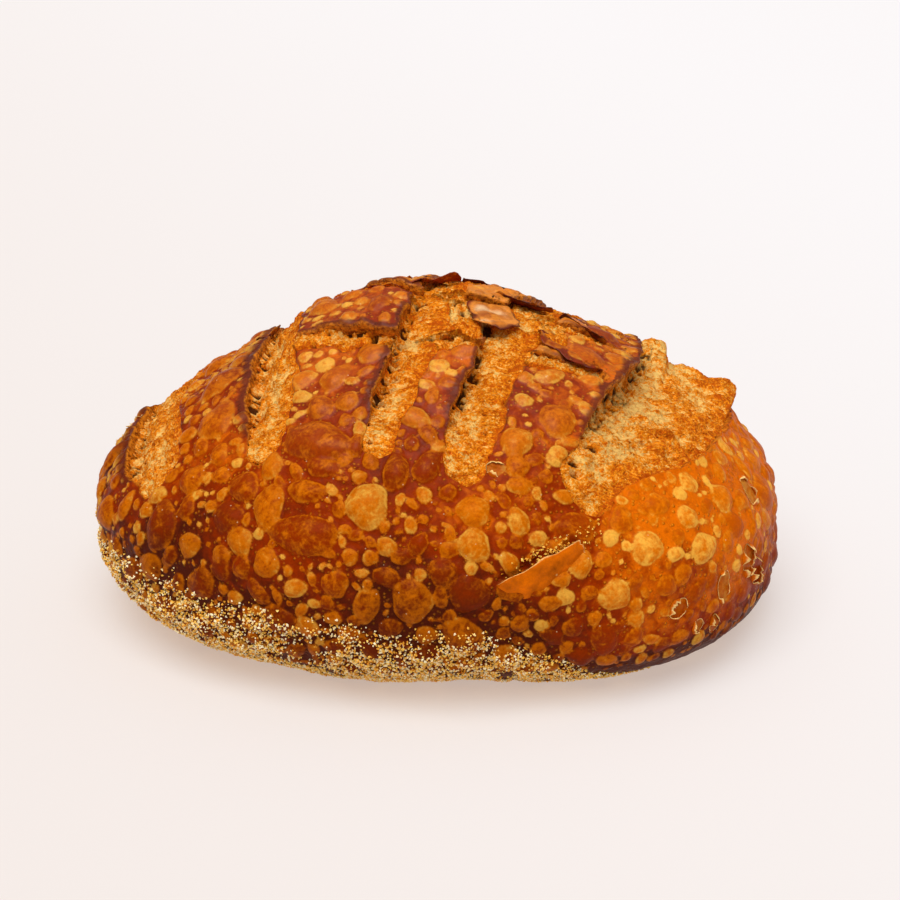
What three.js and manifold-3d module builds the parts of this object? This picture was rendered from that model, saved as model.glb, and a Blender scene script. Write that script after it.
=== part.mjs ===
// A sourdough boule: one hand-shaped, slightly oval loaf, baked free-standing.
// Units are millimetres. X runs along the loaf, Y across it towards the back, Z up.
// The origin is on the table under the middle of the loaf, and the flat base lies in z = 0.

import * as THREE from "three";
import { mergeVertices } from "three/addons/utils/BufferGeometryUtils.js";
import Module from "manifold-3d";

// Driving dimensions of the body. Its widest line lies at WAIST_HEIGHT above the table.
const REACH_LEFT = 128.5;
const REACH_RIGHT = 118.5;
const HALF_WIDTH = 99;
const WAIST_HEIGHT = 44;
const DOME_RISE = 76;
const UNDERSIDE_DEPTH = 50.5;
const DOME_LEAN = -0.05; // the dome is lower towards the right end by this share
const DOME_SAG = -0.16; // and lower at both ends by this share
const LEFT_SLOPE = -0.17; // the left end falls away by this share more
const PLAN_SQUARENESS = 2.15; // exponents of the rounded outlines: 2 is an ellipse
const DOME_SQUARENESS = 1.72;
const UNDERSIDE_SQUARENESS = 2.6;
const UNDERSIDE_SKEW = 0.6; // the underside is fuller at the right end
const UNDERSIDE_ENDS = 1.6; // and at both ends
const LUMP_HEIGHT = 1.5; // unevenness of a loaf shaped by hand

// Scoring. Each stroke of the blade is a line in plan from its start to its end, bowed sideways.
// The crust on a stroke's left is lifted as an ear, and the crumb climbs from under it to the right.
// A stroke opens from `tip`, its half width at the ends, to its full half width in the share `taper` of its length.
const EAR_REACH = 9; // how far back from its edge an ear lifts
// Between the distances `spring` along a stroke, its crumb changes from a scoop with a low `swell`
// to a rim of height `ridge`.
const RIDGE_LEVEL = 0.58; // shares of that height: between the rim's two crests, and added at each crest
const EAR_RIDGE = 0.95;
const FAR_RIDGE = 0.85;
const CROSS_STROKES = [
  { start: [-98.2, -47.2], end: [-98.9, 58], bow: -8.1, halfWidth: 10.6, depth: 5, ear: 1.8, swell: -0.3, tip: 7.6 },
  { start: [-57.7, -61.3], end: [-60.2, 66], bow: -2.1, halfWidth: 8.9, depth: 5.8, ear: 2.2, swell: -0.5, tip: 6.4 },
  { start: [-17.8, -68.7], end: [10.8, 70], bow: -0.2, halfWidth: 8.2, depth: 5.8, ear: 2.2, swell: -0.5, tip: 5.9 },
  { start: [11.6, -72], end: [42.7, 68], bow: -0.1, halfWidth: 9.2, depth: 5.4, ear: 2, swell: -0.5, tip: 8.6 },
].map((stroke) => ({ ...stroke, taper: 0.12, ridge: 1, spring: [40, 85] }));
const WIDE_STROKE = {
  ...{ start: [53, -68], end: [71.2, 80], bow: 20.6, halfWidth: 17.7, tip: 9.5, taper: 0.25 },
  ...{ depth: 8.5, ear: 3.4, swell: -1, ridge: 6.5, spring: [76, 116] },
};
const LONG_STROKES = [
  { start: [-56, -19], end: [52, -26], bow: 8, halfWidth: 4.4, depth: 3.8, ear: 1.6 },
  { start: [-46, 19], end: [60, 8], bow: 18, halfWidth: 4.4, depth: 3.6, ear: 1.8 },
  { start: [-40, 45], end: [60, 34], bow: 18, halfWidth: 4.6, depth: 3.6, ear: 1.6 },
].map((stroke) => ({ ...stroke, swell: 0.5, ridge: 0.5, spring: [40, 85], tip: 4.2, taper: 0.22 }));
// Where the crust has torn away between two strokes on the crest.
const TORN_CREST = {
  ...{ start: [-2, -17], end: [33, -10], bow: 0, halfWidth: 14, tip: 10, taper: 0.3 },
  ...{ depth: 1.8, ear: 0.4, swell: 0.8, ridge: 0.8, spring: [40, 85] },
};
const STROKES = [...CROSS_STROKES, WIDE_STROKE, ...LONG_STROKES, TORN_CREST];
// A part of the crest that has sprung up between the strokes: its sides in plan, eased over TILE_EASE.
const TILE_X = [-58, -16];
const TILE_Y = [-25, 14];
const TILE_EASE = 7;
const TILE_LIFT = 4.5;

// A burst blister on the front flank, whose skin stands out as a flap with a straight upper edge.
const FLAP_ENDS = [new THREE.Vector3(24, -97, 52), new THREE.Vector3(52, -87, 63.5)];
const FLAP_DROP = 11;
const FLAP_HEIGHT = 3.6;

// Large blisters in the crust, spread evenly by a golden-angle spiral.
const BLISTER_SITES = 150;
const BLISTER_RADIUS = [4.8, 8.5];
const BLISTER_HEIGHT = 0.24; // of its radius
const BLISTER_LOWEST = 16; // blisters start above this height
const BLISTER_MARGIN = 0.6; // of its radius, that a blister keeps from a stroke's edge

// Coarse cornmeal that sticks round the foot of the loaf: only its largest grits.
const GRIT_COUNT = 64;
const GRIT_RADIUS = [0.8, 1.15];
const GRIT_BAND = [3, 17];
const GRIT_SINK = 0.45; // how far a grit's middle lies below the crust

// Edge lengths of the facets.
const SPHERE_DETAIL = 8;
const PLAIN_EDGE = 11.5;
const BLISTER_EDGE = 5.6;
const LIP_EDGE = 3.1;
const LIP_BAND = 3.2; // facets are finest within this distance of a stroke's edge
const REFINE_PASSES = 5;
const SNAP_BAND = 1.5; // facet corners this near to a stroke's edge are moved onto it
const SNAP_STEPS = 4;
const EDGE_TOLERANCE = 0.3;

const GOLDEN_ANGLE = Math.PI * (3 - Math.sqrt(5));
const GRADIENT_STEP = 0.05;

const wasm = await Module();
wasm.setup();

const mix = (a, b, t) => a + (b - a) * t;
const smoothstep = THREE.MathUtils.smoothstep;

// A repeatable draw from 0 to 1 for a whole number.
function draw(n) {
  const s = Math.sin(n * 12.9898 + 4.1414) * 43758.5453;
  return s - Math.floor(s);
}

// The loaf's radius from its middle at waist height, in a unit direction.
function bodyRadius(d) {
  const reach = d.x > 0 ? REACH_RIGHT : REACH_LEFT;
  const slope = LEFT_SLOPE * Math.max(0, -d.x) ** 5;
  const dome = DOME_RISE * (1 + DOME_LEAN * d.x + DOME_SAG * d.x * d.x + slope);
  const rise = d.z > 0 ? dome : UNDERSIDE_DEPTH;
  const underside = UNDERSIDE_SQUARENESS + UNDERSIDE_SKEW * d.x ** 3 + UNDERSIDE_ENDS * d.x ** 4;
  const power = d.z > 0 ? DOME_SQUARENESS : underside;
  const plan =
    (Math.abs(d.x / reach) ** PLAN_SQUARENESS + Math.abs(d.y / HALF_WIDTH) ** PLAN_SQUARENESS) **
    (1 / PLAN_SQUARENESS);
  return (plan ** power + Math.abs(d.z / rise) ** power) ** (-1 / power);
}

// The point of the smooth body in a unit direction from its middle.
function bodyPoint(d) {
  const r = bodyRadius(d);
  return new THREE.Vector3(d.x * r, d.y * r, d.z * r + WAIST_HEIGHT);
}

// How far a point lies from the middle, as a share of the body's radius there: 1 on its surface.
function bodyShare(p) {
  const q = new THREE.Vector3(p.x, p.y, p.z - WAIST_HEIGHT);
  const length = q.length();
  return length / bodyRadius(q.divideScalar(length));
}

// The outward normal of the smooth body.
function bodyNormal(p) {
  const gradient = new THREE.Vector3();
  for (const axis of ["x", "y", "z"]) {
    const ahead = p.clone();
    const behind = p.clone();
    ahead[axis] += GRADIENT_STEP;
    behind[axis] -= GRADIENT_STEP;
    gradient[axis] = bodyShare(ahead) - bodyShare(behind);
  }
  return gradient.normalize();
}

// The low swells of a hand-shaped loaf.
function lumps(p) {
  return (
    LUMP_HEIGHT *
    (0.5 * Math.sin(0.051 * p.x + 0.043 * p.y + 0.6) +
      0.35 * Math.sin(0.083 * p.y - 0.061 * p.z + 2.1) +
      0.3 * Math.sin(0.097 * p.x - 0.071 * p.z + 4.0))
  );
}

// Where a plan point lies on a stroke: its distance outside the edge, which is negative inside,
// its place across from -1 at the ear to 1, how open the stroke is there, and the distance along it.
function onStroke(stroke, x, y) {
  const [x0, y0] = stroke.start;
  const [ex, ey] = [stroke.end[0] - x0, stroke.end[1] - y0];
  const length = Math.hypot(ex, ey);
  const along = ((x - x0) * ex + (y - y0) * ey) / (length * length);
  const t = THREE.MathUtils.clamp(along, 0, 1);
  const aside = ((x - x0) * ey - (y - y0) * ex) / length - stroke.bow * 4 * t * (1 - t);
  const opening = smoothstep(t, 0, stroke.taper) * smoothstep(1 - t, 0, stroke.taper);
  const halfWidth = mix(stroke.tip, stroke.halfWidth, opening);
  const past = (along - t) * length;
  return { distance: Math.hypot(aside, past) - halfWidth, across: aside / halfWidth, opening, run: t * length };
}

// The least distance from a point of the dome to any stroke's edge.
function strokeDistance(p) {
  if (p.z < WAIST_HEIGHT) return Infinity;
  return Math.min(...STROKES.map((stroke) => onStroke(stroke, p.x, p.y).distance));
}

// A direction moved so that the body's point there lies on the nearest stroke's edge.
function snapToStroke(direction) {
  const d = direction.clone();
  for (let step = 0; step < SNAP_STEPS; step++) {
    const p = bodyPoint(d);
    const distance = strokeDistance(p);
    if (Math.abs(distance) > SNAP_BAND) return direction;
    const east = p.clone().setX(p.x + GRADIENT_STEP);
    const north = p.clone().setY(p.y + GRADIENT_STEP);
    const [gx, gy] = [east, north].map((q) => (strokeDistance(q) - distance) / GRADIENT_STEP);
    const pace = distance / Math.max(gx * gx + gy * gy, 0.5);
    d.set(p.x - pace * gx, p.y - pace * gy, p.z - WAIST_HEIGHT).normalize();
  }
  return d;
}

// How far the sprung part of the crest stands up.
function tileLift(p) {
  const sides = [[p.x, TILE_X], [p.y, TILE_Y]].map(
    ([v, [low, high]]) =>
      smoothstep(v, low - TILE_EASE, low + TILE_EASE) * (1 - smoothstep(v, high - TILE_EASE, high + TILE_EASE)),
  );
  return TILE_LIFT * sides[0] * sides[1];
}

// The relief of the scoring: torn crumb inside the strokes, lifted ears beside them.
function scoring(p) {
  if (p.z < WAIST_HEIGHT) return 0;
  let floor = Infinity;
  let lift = 0;
  for (const stroke of STROKES) {
    const { distance, across, opening, run } = onStroke(stroke, p.x, p.y);
    if (distance < -EDGE_TOLERANCE) {
      const far = smoothstep(run, ...stroke.spring);
      const fall = ((1 - across) / 2) ** 1.5;
      const nearRise = smoothstep(across, -0.5, 0.7) * (1 - 0.6 * smoothstep(across, 0.7, 1));
      const earRidge = EAR_RIDGE * smoothstep(across, -1, -0.7) * (1 - smoothstep(across, -0.45, -0.2));
      const farRidge = FAR_RIDGE * smoothstep(across, 0.42, 0.75);
      const rim = smoothstep(across, -1.15, -0.8) * (1 - 0.8 * smoothstep(across, 0.9, 1.02)) * opening;
      const ridge = stroke.ridge * (RIDGE_LEVEL + earRidge + farRidge) * rim;
      const rise = mix(stroke.swell * nearRise, ridge, far);
      floor = Math.min(floor, rise - stroke.depth * (1 - 0.5 * far) * opening * mix(0.15, 1, fall));
    } else if (across < 0) {
      lift = Math.max(lift, stroke.ear * opening * Math.exp(-distance / EAR_REACH));
    } else {
      lift = Math.max(lift, 0.4 * stroke.swell * opening * Math.exp(-distance / EAR_REACH));
    }
  }
  return tileLift(p) + (floor < Infinity ? floor : lift);
}

// The flap of the burst blister: highest at its upper edge, and bowed like a pocket.
function flap(p) {
  const [a, b] = FLAP_ENDS;
  const along = new THREE.Vector3().subVectors(b, a);
  const length = along.length();
  along.divideScalar(length);
  const offset = new THREE.Vector3().subVectors(p, a);
  const t = offset.dot(along) / length;
  const down = -(offset.z - t * length * along.z) / Math.hypot(along.x, along.y);
  const reach = FLAP_DROP * Math.sqrt(Math.max(0, 4 * t * (1 - t)));
  if (p.y > 0 || down < 0 || down > reach) return 0;
  return FLAP_HEIGHT * (1 - down / reach) * Math.sqrt(4 * t * (1 - t));
}

// Centres, normals and radii of the large blisters, clear of the scoring and of the flap.
function blisterSites() {
  const sites = [];
  for (let n = 0; n < BLISTER_SITES; n++) {
    const z = 1 - (2 * (n + 0.5)) / BLISTER_SITES;
    const turn = n * GOLDEN_ANGLE + 0.5 * draw(n);
    const s = Math.sqrt(1 - z * z);
    const centre = bodyPoint(new THREE.Vector3(s * Math.cos(turn), s * Math.sin(turn), z));
    const radius = mix(...BLISTER_RADIUS, draw(n + 500) ** 1.6);
    const clear = strokeDistance(centre) > BLISTER_MARGIN * radius && flap(centre) === 0;
    if (centre.z > BLISTER_LOWEST && clear) sites.push({ centre, radius });
  }
  return sites;
}
const BLISTERS = blisterSites();

// How far a point lies from the nearest blister's rim, which is negative inside.
function blisterDistance(p) {
  return Math.min(...BLISTERS.map(({ centre, radius }) => p.distanceTo(centre) - radius));
}

// The relief of the blisters: low domes with a clear rim.
function blisters(p) {
  let height = 0;
  for (const { centre, radius } of BLISTERS) {
    const share = p.distanceTo(centre) / radius;
    if (share < 1) height = Math.max(height, BLISTER_HEIGHT * radius * Math.sqrt(1 - share * share));
  }
  return height;
}

// A point of the loaf's finished surface, from a point of the smooth body.
function loafPoint(p) {
  const bare = strokeDistance(p) > -EDGE_TOLERANCE ? blisters(p) + flap(p) : 0;
  return p.clone().addScaledVector(bodyNormal(p), lumps(p) + scoring(p) + bare);
}

// The longest edge that the facets may have at a point of the smooth body.
function edgeLimit(p) {
  if (p.z <= 0) return PLAIN_EDGE;
  if (Math.abs(strokeDistance(p)) < LIP_BAND || flap(p) > 0) return LIP_EDGE;
  return blisterDistance(p) < 0 ? BLISTER_EDGE : PLAIN_EDGE;
}

// Splits the edges of a sphere's triangles until each is short enough on the loaf.
// A triangle with one, two or three split edges becomes two, three or four, so no gap opens.
function refine(directions, triangles) {
  const points = directions.map(bodyPoint);
  for (let pass = 0; pass < REFINE_PASSES; pass++) {
    const middles = new Map();
    const key = (a, b) => (a < b ? `${a},${b}` : `${b},${a}`);
    const longest = (t) => Math.max(...t.map((v, i) => points[v].distanceTo(points[t[(i + 1) % 3]])));
    for (const t of triangles) {
      const limit = 0.7 * longest(t);
      t.forEach((a, i) => {
        const b = t[(i + 1) % 3];
        const length = points[a].distanceTo(points[b]);
        if (length < limit || middles.has(key(a, b))) return;
        const d = directions[a].clone().add(directions[b]).normalize();
        const p = bodyPoint(d);
        if (length < 1.4 * Math.min(edgeLimit(p), edgeLimit(points[a]), edgeLimit(points[b]))) return;
        middles.set(key(a, b), directions.length);
        directions.push(d);
        points.push(p);
      });
    }
    if (!middles.size) break;
    triangles = triangles.flatMap((t) => splitTriangle(t, (a, b) => middles.get(key(a, b))));
  }
  return { points: directions.map((d) => bodyPoint(snapToStroke(d))), triangles };
}

// The pieces of one triangle, given the new point on each of its edges, if any.
function splitTriangle([a, b, c], middleOf) {
  const [ab, bc, ca] = [middleOf(a, b), middleOf(b, c), middleOf(c, a)];
  const count = [ab, bc, ca].filter((m) => m !== undefined).length;
  if (count === 0) return [[a, b, c]];
  if (count === 3) return [[a, ab, ca], [ab, b, bc], [ca, bc, c], [ab, bc, ca]];
  if (count === 1) {
    if (ab !== undefined) return [[a, ab, c], [ab, b, c]];
    if (bc !== undefined) return [[a, b, bc], [a, bc, c]];
    return [[a, b, ca], [ca, b, c]];
  }
  if (ab === undefined) return [[c, ca, bc], [ca, a, b], [ca, b, bc]];
  if (bc === undefined) return [[a, ab, ca], [ab, b, c], [ab, c, ca]];
  return [[b, bc, ab], [bc, c, a], [bc, a, ab]];
}

// A closed solid from points and triangles.
function solidFrom(points, triangles) {
  const vertProperties = new Float32Array(points.flatMap((p) => p.toArray()));
  const triVerts = new Uint32Array(triangles.flat());
  return new wasm.Manifold(new wasm.Mesh({ numProp: 3, vertProperties, triVerts }));
}

// The shared corners of a three.js geometry, and its triangles as corner numbers.
function cornersOf(geometry) {
  geometry.deleteAttribute("normal");
  geometry.deleteAttribute("uv");
  const { attributes, index } = mergeVertices(geometry);
  const corners = [];
  for (let i = 0; i < attributes.position.count; i++) {
    corners.push(new THREE.Vector3().fromBufferAttribute(attributes.position, i));
  }
  const triangles = [];
  for (let i = 0; i < index.count; i += 3) {
    triangles.push([index.getX(i), index.getX(i + 1), index.getX(i + 2)]);
  }
  return { corners, triangles };
}

// A closed solid from a three.js geometry.
function solidOf(geometry) {
  const { corners, triangles } = cornersOf(geometry);
  return solidFrom(corners, triangles);
}

// The three.js geometry of a solid.
function geometryOf(solid) {
  const { vertProperties, triVerts } = solid.getMesh();
  return new THREE.BufferGeometry()
    .setAttribute("position", new THREE.BufferAttribute(vertProperties, 3))
    .setIndex(new THREE.BufferAttribute(triVerts, 1));
}

// The loaf's body with its crust in relief, cut flat where it stood on the oven floor.
function loafBody() {
  const sphere = cornersOf(new THREE.IcosahedronGeometry(1, SPHERE_DETAIL));
  const { points, triangles } = refine(sphere.corners, sphere.triangles);
  const body = solidFrom(points.map(loafPoint), triangles);
  const floor = new THREE.BoxGeometry(4 * REACH_LEFT, 4 * HALF_WIDTH, UNDERSIDE_DEPTH);
  floor.translate(0, 0, -UNDERSIDE_DEPTH / 2);
  return body.subtract(solidOf(floor));
}

// The largest cornmeal grits, half sunk in the crust round the foot.
function grits() {
  return Array.from({ length: GRIT_COUNT }, (_, n) => {
    const turn = (2 * Math.PI * (n + 0.6 * draw(n + 900))) / GRIT_COUNT;
    const height = mix(...GRIT_BAND, draw(n + 1300));
    const flat = new THREE.Vector3(Math.cos(turn) * REACH_LEFT, Math.sin(turn) * HALF_WIDTH, 0);
    const d = flat.setZ((height - WAIST_HEIGHT) * 1.2).normalize();
    const foot = bodyPoint(d);
    const place = loafPoint(foot).addScaledVector(bodyNormal(foot), -GRIT_SINK);
    const grit = new THREE.OctahedronGeometry(mix(...GRIT_RADIUS, draw(n + 1700)));
    grit.rotateX(6 * draw(n + 2100));
    grit.rotateY(6 * draw(n + 2500));
    return solidOf(grit.translate(place.x, place.y, place.z));
  });
}

const CRUST = new THREE.MeshStandardMaterial({ color: 0xa8521a, roughness: 0.5, metalness: 0 });

const shape = geometryOf(grits().reduce((whole, grit) => whole.add(grit), loafBody()));
shape.computeBoundingBox();
const middle = shape.boundingBox.getCenter(new THREE.Vector3());
shape.translate(-middle.x, -middle.y, 0);

const loaf = new THREE.Mesh(shape, CRUST);
loaf.name = "loaf";

const boule = new THREE.Group();
boule.name = "sourdough_boule";
boule.add(loaf);

export default boule;
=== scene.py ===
"""Looks of a sourdough boule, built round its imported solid.

The loaf is made again from the same driving sizes as the solid: a fine skin of blistered crust over a core
of torn crumb. The cornmeal round its foot, the skins of burst blisters and the flakes of crust on its crest
are pieces of their own. Shapes are worked out in millimetres about the middle of the loaf's foot, and are
placed in the frame in metres.
"""

import itertools
import logging
import math
from dataclasses import dataclass, field
from enum import Enum
from typing import Any, Callable, Iterable, Union

import bmesh
import bpy
import numpy as np
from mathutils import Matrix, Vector
from mathutils.kdtree import KDTree


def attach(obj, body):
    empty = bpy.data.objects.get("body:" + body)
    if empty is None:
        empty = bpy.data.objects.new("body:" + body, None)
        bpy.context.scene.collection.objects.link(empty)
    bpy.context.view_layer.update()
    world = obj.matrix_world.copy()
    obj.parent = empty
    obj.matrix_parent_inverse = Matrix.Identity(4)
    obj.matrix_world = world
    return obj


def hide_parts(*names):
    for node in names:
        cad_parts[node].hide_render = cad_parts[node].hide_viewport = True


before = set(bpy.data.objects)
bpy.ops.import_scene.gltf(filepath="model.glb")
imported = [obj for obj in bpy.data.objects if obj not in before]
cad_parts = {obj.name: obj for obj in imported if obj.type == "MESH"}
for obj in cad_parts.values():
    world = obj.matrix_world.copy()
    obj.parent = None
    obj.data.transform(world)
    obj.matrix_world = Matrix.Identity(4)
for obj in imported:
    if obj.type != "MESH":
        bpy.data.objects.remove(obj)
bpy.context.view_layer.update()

log = logging.getLogger("boule")

Array = np.ndarray
Colour = tuple[float, float, float, float]
MM = 0.001
# How far the body's middle lies from the origin of the frame, along X and Y, in millimetres.
FRAME_SHIFT = (4.73, -0.36)
GOLDEN_ANGLE = math.pi * (3 - math.sqrt(5))
# A half turn, near enough for angles that are drawn by chance.
HALF_TURN = 3.14
FULL_TURN = 2 * HALF_TURN
BAKE_MAP = "OFBake"


def smooth(value: Array, low: float, high: float) -> Array:
    """Eases from 0 at `low` to 1 at `high`."""
    t = np.clip((value - low) / (high - low), 0, 1)
    return t * t * (3 - 2 * t)


def mix(a: Any, b: Any, share: Any) -> Any:
    """The value `share` of the way from `a` to `b`."""
    return a + (b - a) * share


def unit(vectors: Array) -> Array:
    """The vectors, each brought to length 1."""
    return vectors / np.linalg.norm(vectors, axis=-1, keepdims=True)


def level_axes(up: Array) -> tuple[Array, Array]:
    """The unit vectors across a normal: a level one, and one up the slope."""
    level = unit(np.cross([0.0, 0.0, 1.0], up) + np.array([1e-6, 0, 0]))
    return level, np.cross(up, level)


def draw(number: int) -> float:
    """A repeatable draw from 0 to 1 for a whole number."""
    s = math.sin(number * 12.9898 + 4.1414) * 43758.5453
    return s - math.floor(s)


def srgb(red: int, green: int, blue: int) -> Colour:
    """A colour in the linear values that shaders use.

    Args:
        red: its red in steps of 1/255.
        green: its green.
        blue: its blue.

    Returns:
        The linear colour, with full cover.
    """
    def linear(step: int) -> float:
        """One linear value."""
        c = step / 255
        return c / 12.92 if c <= 0.04045 else ((c + 0.055) / 1.055) ** 2.4
    return (linear(red), linear(green), linear(blue), 1.0)


class Grain:
    """Seeded gradient noise over points in space."""

    gain = 1.7
    pit_stray = 0.45
    pit_radius = (0.24, 0.2)
    pit_floor = 0.25
    pit_draw = 91

    def __init__(self, seed: int) -> None:
        """Draws the noise's own gradients.

        Args:
            seed: which noise this is.
        """
        rng = np.random.default_rng(seed)
        self.order = rng.permutation(256)
        self.slopes = unit(rng.normal(size=(256, 3)))

    def _slope(self, cell: Array) -> Array:
        """The gradient at each whole-numbered corner."""
        x, y, z = (cell & 255).T
        return self.slopes[self.order[(self.order[(self.order[x] + y) & 255] + z) & 255]]

    def at(self, points: Array, size: float) -> Array:
        """One octave of noise.

        Args:
            points: places in millimetres, one a row.
            size: the width of the noise's swells in millimetres.

        Returns:
            Values from about -1 to 1, one for each point.
        """
        q = points / size
        cell = np.floor(q).astype(np.int64)
        f = q - cell
        ease = f * f * f * (f * (f * 6 - 15) + 10)
        total = np.zeros(len(points))
        for corner in itertools.product((0, 1), repeat=3):
            near = np.array(corner)
            weight = np.where(near, ease, 1 - ease).prod(1)
            total += weight * ((f - near) * self._slope(cell + near)).sum(1)
        return self.gain * total

    def ridges(self, points: Array, size: float) -> Array:
        """Noise with sharp crests, from 0 to 1."""
        return 1 - np.minimum(1, 2 * np.abs(self.at(points, size)))

    def pits(self, points: Array, size: float) -> Array:
        """A scatter of round pits.

        Args:
            points: places in millimetres, one a row.
            size: how far apart the pits are in millimetres.

        Returns:
            How deep each point lies in a pit, from 0 to 1.
        """
        q = points / size
        cell = np.floor(q).astype(np.int64)
        depth = np.zeros(len(points))
        for step in itertools.product((-1, 0, 1), repeat=3):
            near = cell + np.array(step)
            centre = near + 0.5 + self.pit_stray * self._slope(near)
            least, spread = self.pit_radius
            radius = least + spread * np.abs(self._slope(near + self.pit_draw)[:, 0])
            reach = np.linalg.norm(q - centre, axis=1) / radius
            depth = np.maximum(depth, 1 - smooth(reach, self.pit_floor, 1.0))
        return depth


@dataclass(frozen=True)
class LoafBody:
    """The smooth body of the loaf: a rounded, slightly oval dome on a flat foot."""

    reach_left: float = 128.5
    reach_right: float = 118.5
    half_width: float = 99.0
    waist_height: float = 44.0
    dome_rise: float = 76.0
    underside_depth: float = 50.5
    dome_lean: float = -0.05
    dome_sag: float = -0.16
    left_slope: float = -0.17
    plan_squareness: float = 2.15
    dome_squareness: float = 1.72
    underside_squareness: float = 2.6
    underside_skew: float = 0.6
    underside_ends: float = 1.6
    lump_height: float = 1.5
    lump_waves: tuple[tuple[float, tuple[float, float, float], float], ...] = (
        (0.5, (0.051, 0.043, 0.0), 0.6),
        (0.35, (0.0, 0.083, -0.061), 2.1),
        (0.3, (0.097, 0.0, -0.071), 4.0),
    )
    gradient_step: float = 0.05

    def radius(self, d: Array) -> Array:
        """The body's radius from the middle of its waist.

        Args:
            d: unit directions, one a row.

        Returns:
            The radius in each direction.
        """
        x, y, z = d.T
        reach = np.where(x > 0, self.reach_right, self.reach_left)
        slope = self.left_slope * np.maximum(0, -x) ** 5
        dome = self.dome_rise * (1 + self.dome_lean * x + self.dome_sag * x * x + slope)
        up = z > 0
        rise = np.where(up, dome, self.underside_depth)
        underside = self.underside_squareness + self.underside_skew * x**3 + self.underside_ends * x**4
        power = np.where(up, self.dome_squareness, underside)
        n = self.plan_squareness
        plan = (np.abs(x / reach) ** n + np.abs(y / self.half_width) ** n) ** (1 / n)
        return (plan**power + np.abs(z / rise) ** power) ** (-1 / power)

    def from_middle(self, points: Array) -> Array:
        """The vectors from the middle of the waist to the points."""
        return points - np.array([0, 0, self.waist_height])

    def point(self, d: Array) -> Array:
        """The surface's points in unit directions."""
        return d * self.radius(d)[:, None] + np.array([0, 0, self.waist_height])

    def share(self, points: Array) -> Array:
        """How far points lie from the middle, as a share of the body's radius there."""
        q = self.from_middle(points)
        length = np.linalg.norm(q, axis=1)
        return length / self.radius(q / length[:, None])

    def normal(self, points: Array) -> Array:
        """The outward normals of the smooth body."""
        steps = self.gradient_step * np.eye(3)
        slopes = [self.share(points + s) - self.share(points - s) for s in steps]
        return unit(np.stack(slopes, 1))

    def lumps(self, points: Array) -> Array:
        """The low swells of a loaf shaped by hand."""
        waves = [share * np.sin(points @ pitch + phase) for share, pitch, phase in self.lump_waves]
        return self.lump_height * sum(waves)

    def _between(self, outer: Array, inner: Array) -> Array:
        """Where the surface lies between points outside and points inside the body.

        Args:
            outer: the points outside, one a row.
            inner: the points inside, one a row.

        Returns:
            The points of the surface.
        """
        for _ in range(30):
            middle = (outer + inner) / 2
            outside = (self.share(middle) > 1)[:, None]
            outer = np.where(outside, middle, outer)
            inner = np.where(outside, inner, middle)
        return inner

    def on_front(self, x: Array, z: Array) -> Array:
        """The points of the front flank at places along the loaf and heights."""
        inner = np.stack([x, np.zeros_like(x), z], 1)
        return self._between(inner - np.array([0, 1.3 * self.half_width, 0]), inner)

    def on_top(self, x: Array, y: Array) -> Array:
        """The points of the dome above places in plan."""
        inner = np.stack([x, y, np.full_like(x, self.waist_height)], 1)
        return self._between(inner + np.array([0, 0, 1.3 * self.dome_rise]), inner)


@dataclass(frozen=True)
class Stroke:
    """One stroke of the blade: a line in plan, bowed to its right, that opens as the loaf springs."""

    start: tuple[float, float]
    end: tuple[float, float]
    bow: float
    half_width: float
    depth: float
    ear: float
    swell: float
    curl: float
    tip: float = 4.2
    taper: float = 0.22
    ridge: float = 0.8
    spring: tuple[float, float] = (40.0, 85.0)
    lip: float = 0.0

    def axes(self) -> tuple[Array, Array, float]:
        """The stroke's own directions in plan.

        Returns:
            The unit vectors along it and to its right, and its length.
        """
        run = np.subtract(self.end, self.start)
        length = float(np.hypot(*run))
        along = run / length
        return along, np.array([along[1], -along[0]]), length

    def place(self, points: Array) -> tuple[Array, Array, Array, Array]:
        """Where points lie on the stroke.

        Args:
            points: places on the loaf, one a row.

        Returns:
            The distance outside the edge, the place across from -1 at the ear to 1, how open the stroke is
            there from 0 to 1, and the distance along it.
        """
        along, right, length = self.axes()
        offset = points[:, :2] - np.array(self.start)
        run = offset @ along
        t = np.clip(run / length, 0, 1)
        aside = offset @ right - self.bow * 4 * t * (1 - t)
        opening = smooth(t, 0, self.taper) * smooth(1 - t, 0, self.taper)
        half_width = mix(self.tip, self.half_width, opening)
        distance = np.hypot(aside, run - t * length) - half_width
        return distance, np.clip(aside / half_width, -1, 1), opening, run

    def floor(self, across: Array, opening: Array, run: Array) -> Array:
        """How high the torn crumb stands against the body: low beside the ear, level at the other side.

        Args:
            across: the place across the stroke, from -1 at the ear to 1.
            opening: how open the stroke is there.
            run: the distance along it.

        Returns:
            The height in millimetres, one value for each point.
        """
        far = smooth(run, *self.spring)
        fall = ((1 - across) / 2) ** 1.4
        near_rise = smooth(across, -0.5, 0.7) * (1 - 0.6 * smooth(across, 0.7, 1))
        ear_ridge = 0.95 * smooth(across, -1.0, -0.7) * (1 - smooth(across, -0.45, -0.2))
        far_ridge = 0.85 * smooth(across, 0.42, 0.75)
        rim = smooth(across, -1.15, -0.8) * (1 - 0.8 * smooth(across, 0.9, 1.02)) * opening
        rise = mix(self.swell * near_rise, self.ridge * (0.58 + ear_ridge + far_ridge) * rim, far)
        under_ear = 1 - 0.45 * smooth(-across, 0.72, 1)
        return rise - self.depth * (1 - 0.5 * far) * opening * mix(0.12, 1, fall) * under_ear


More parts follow.
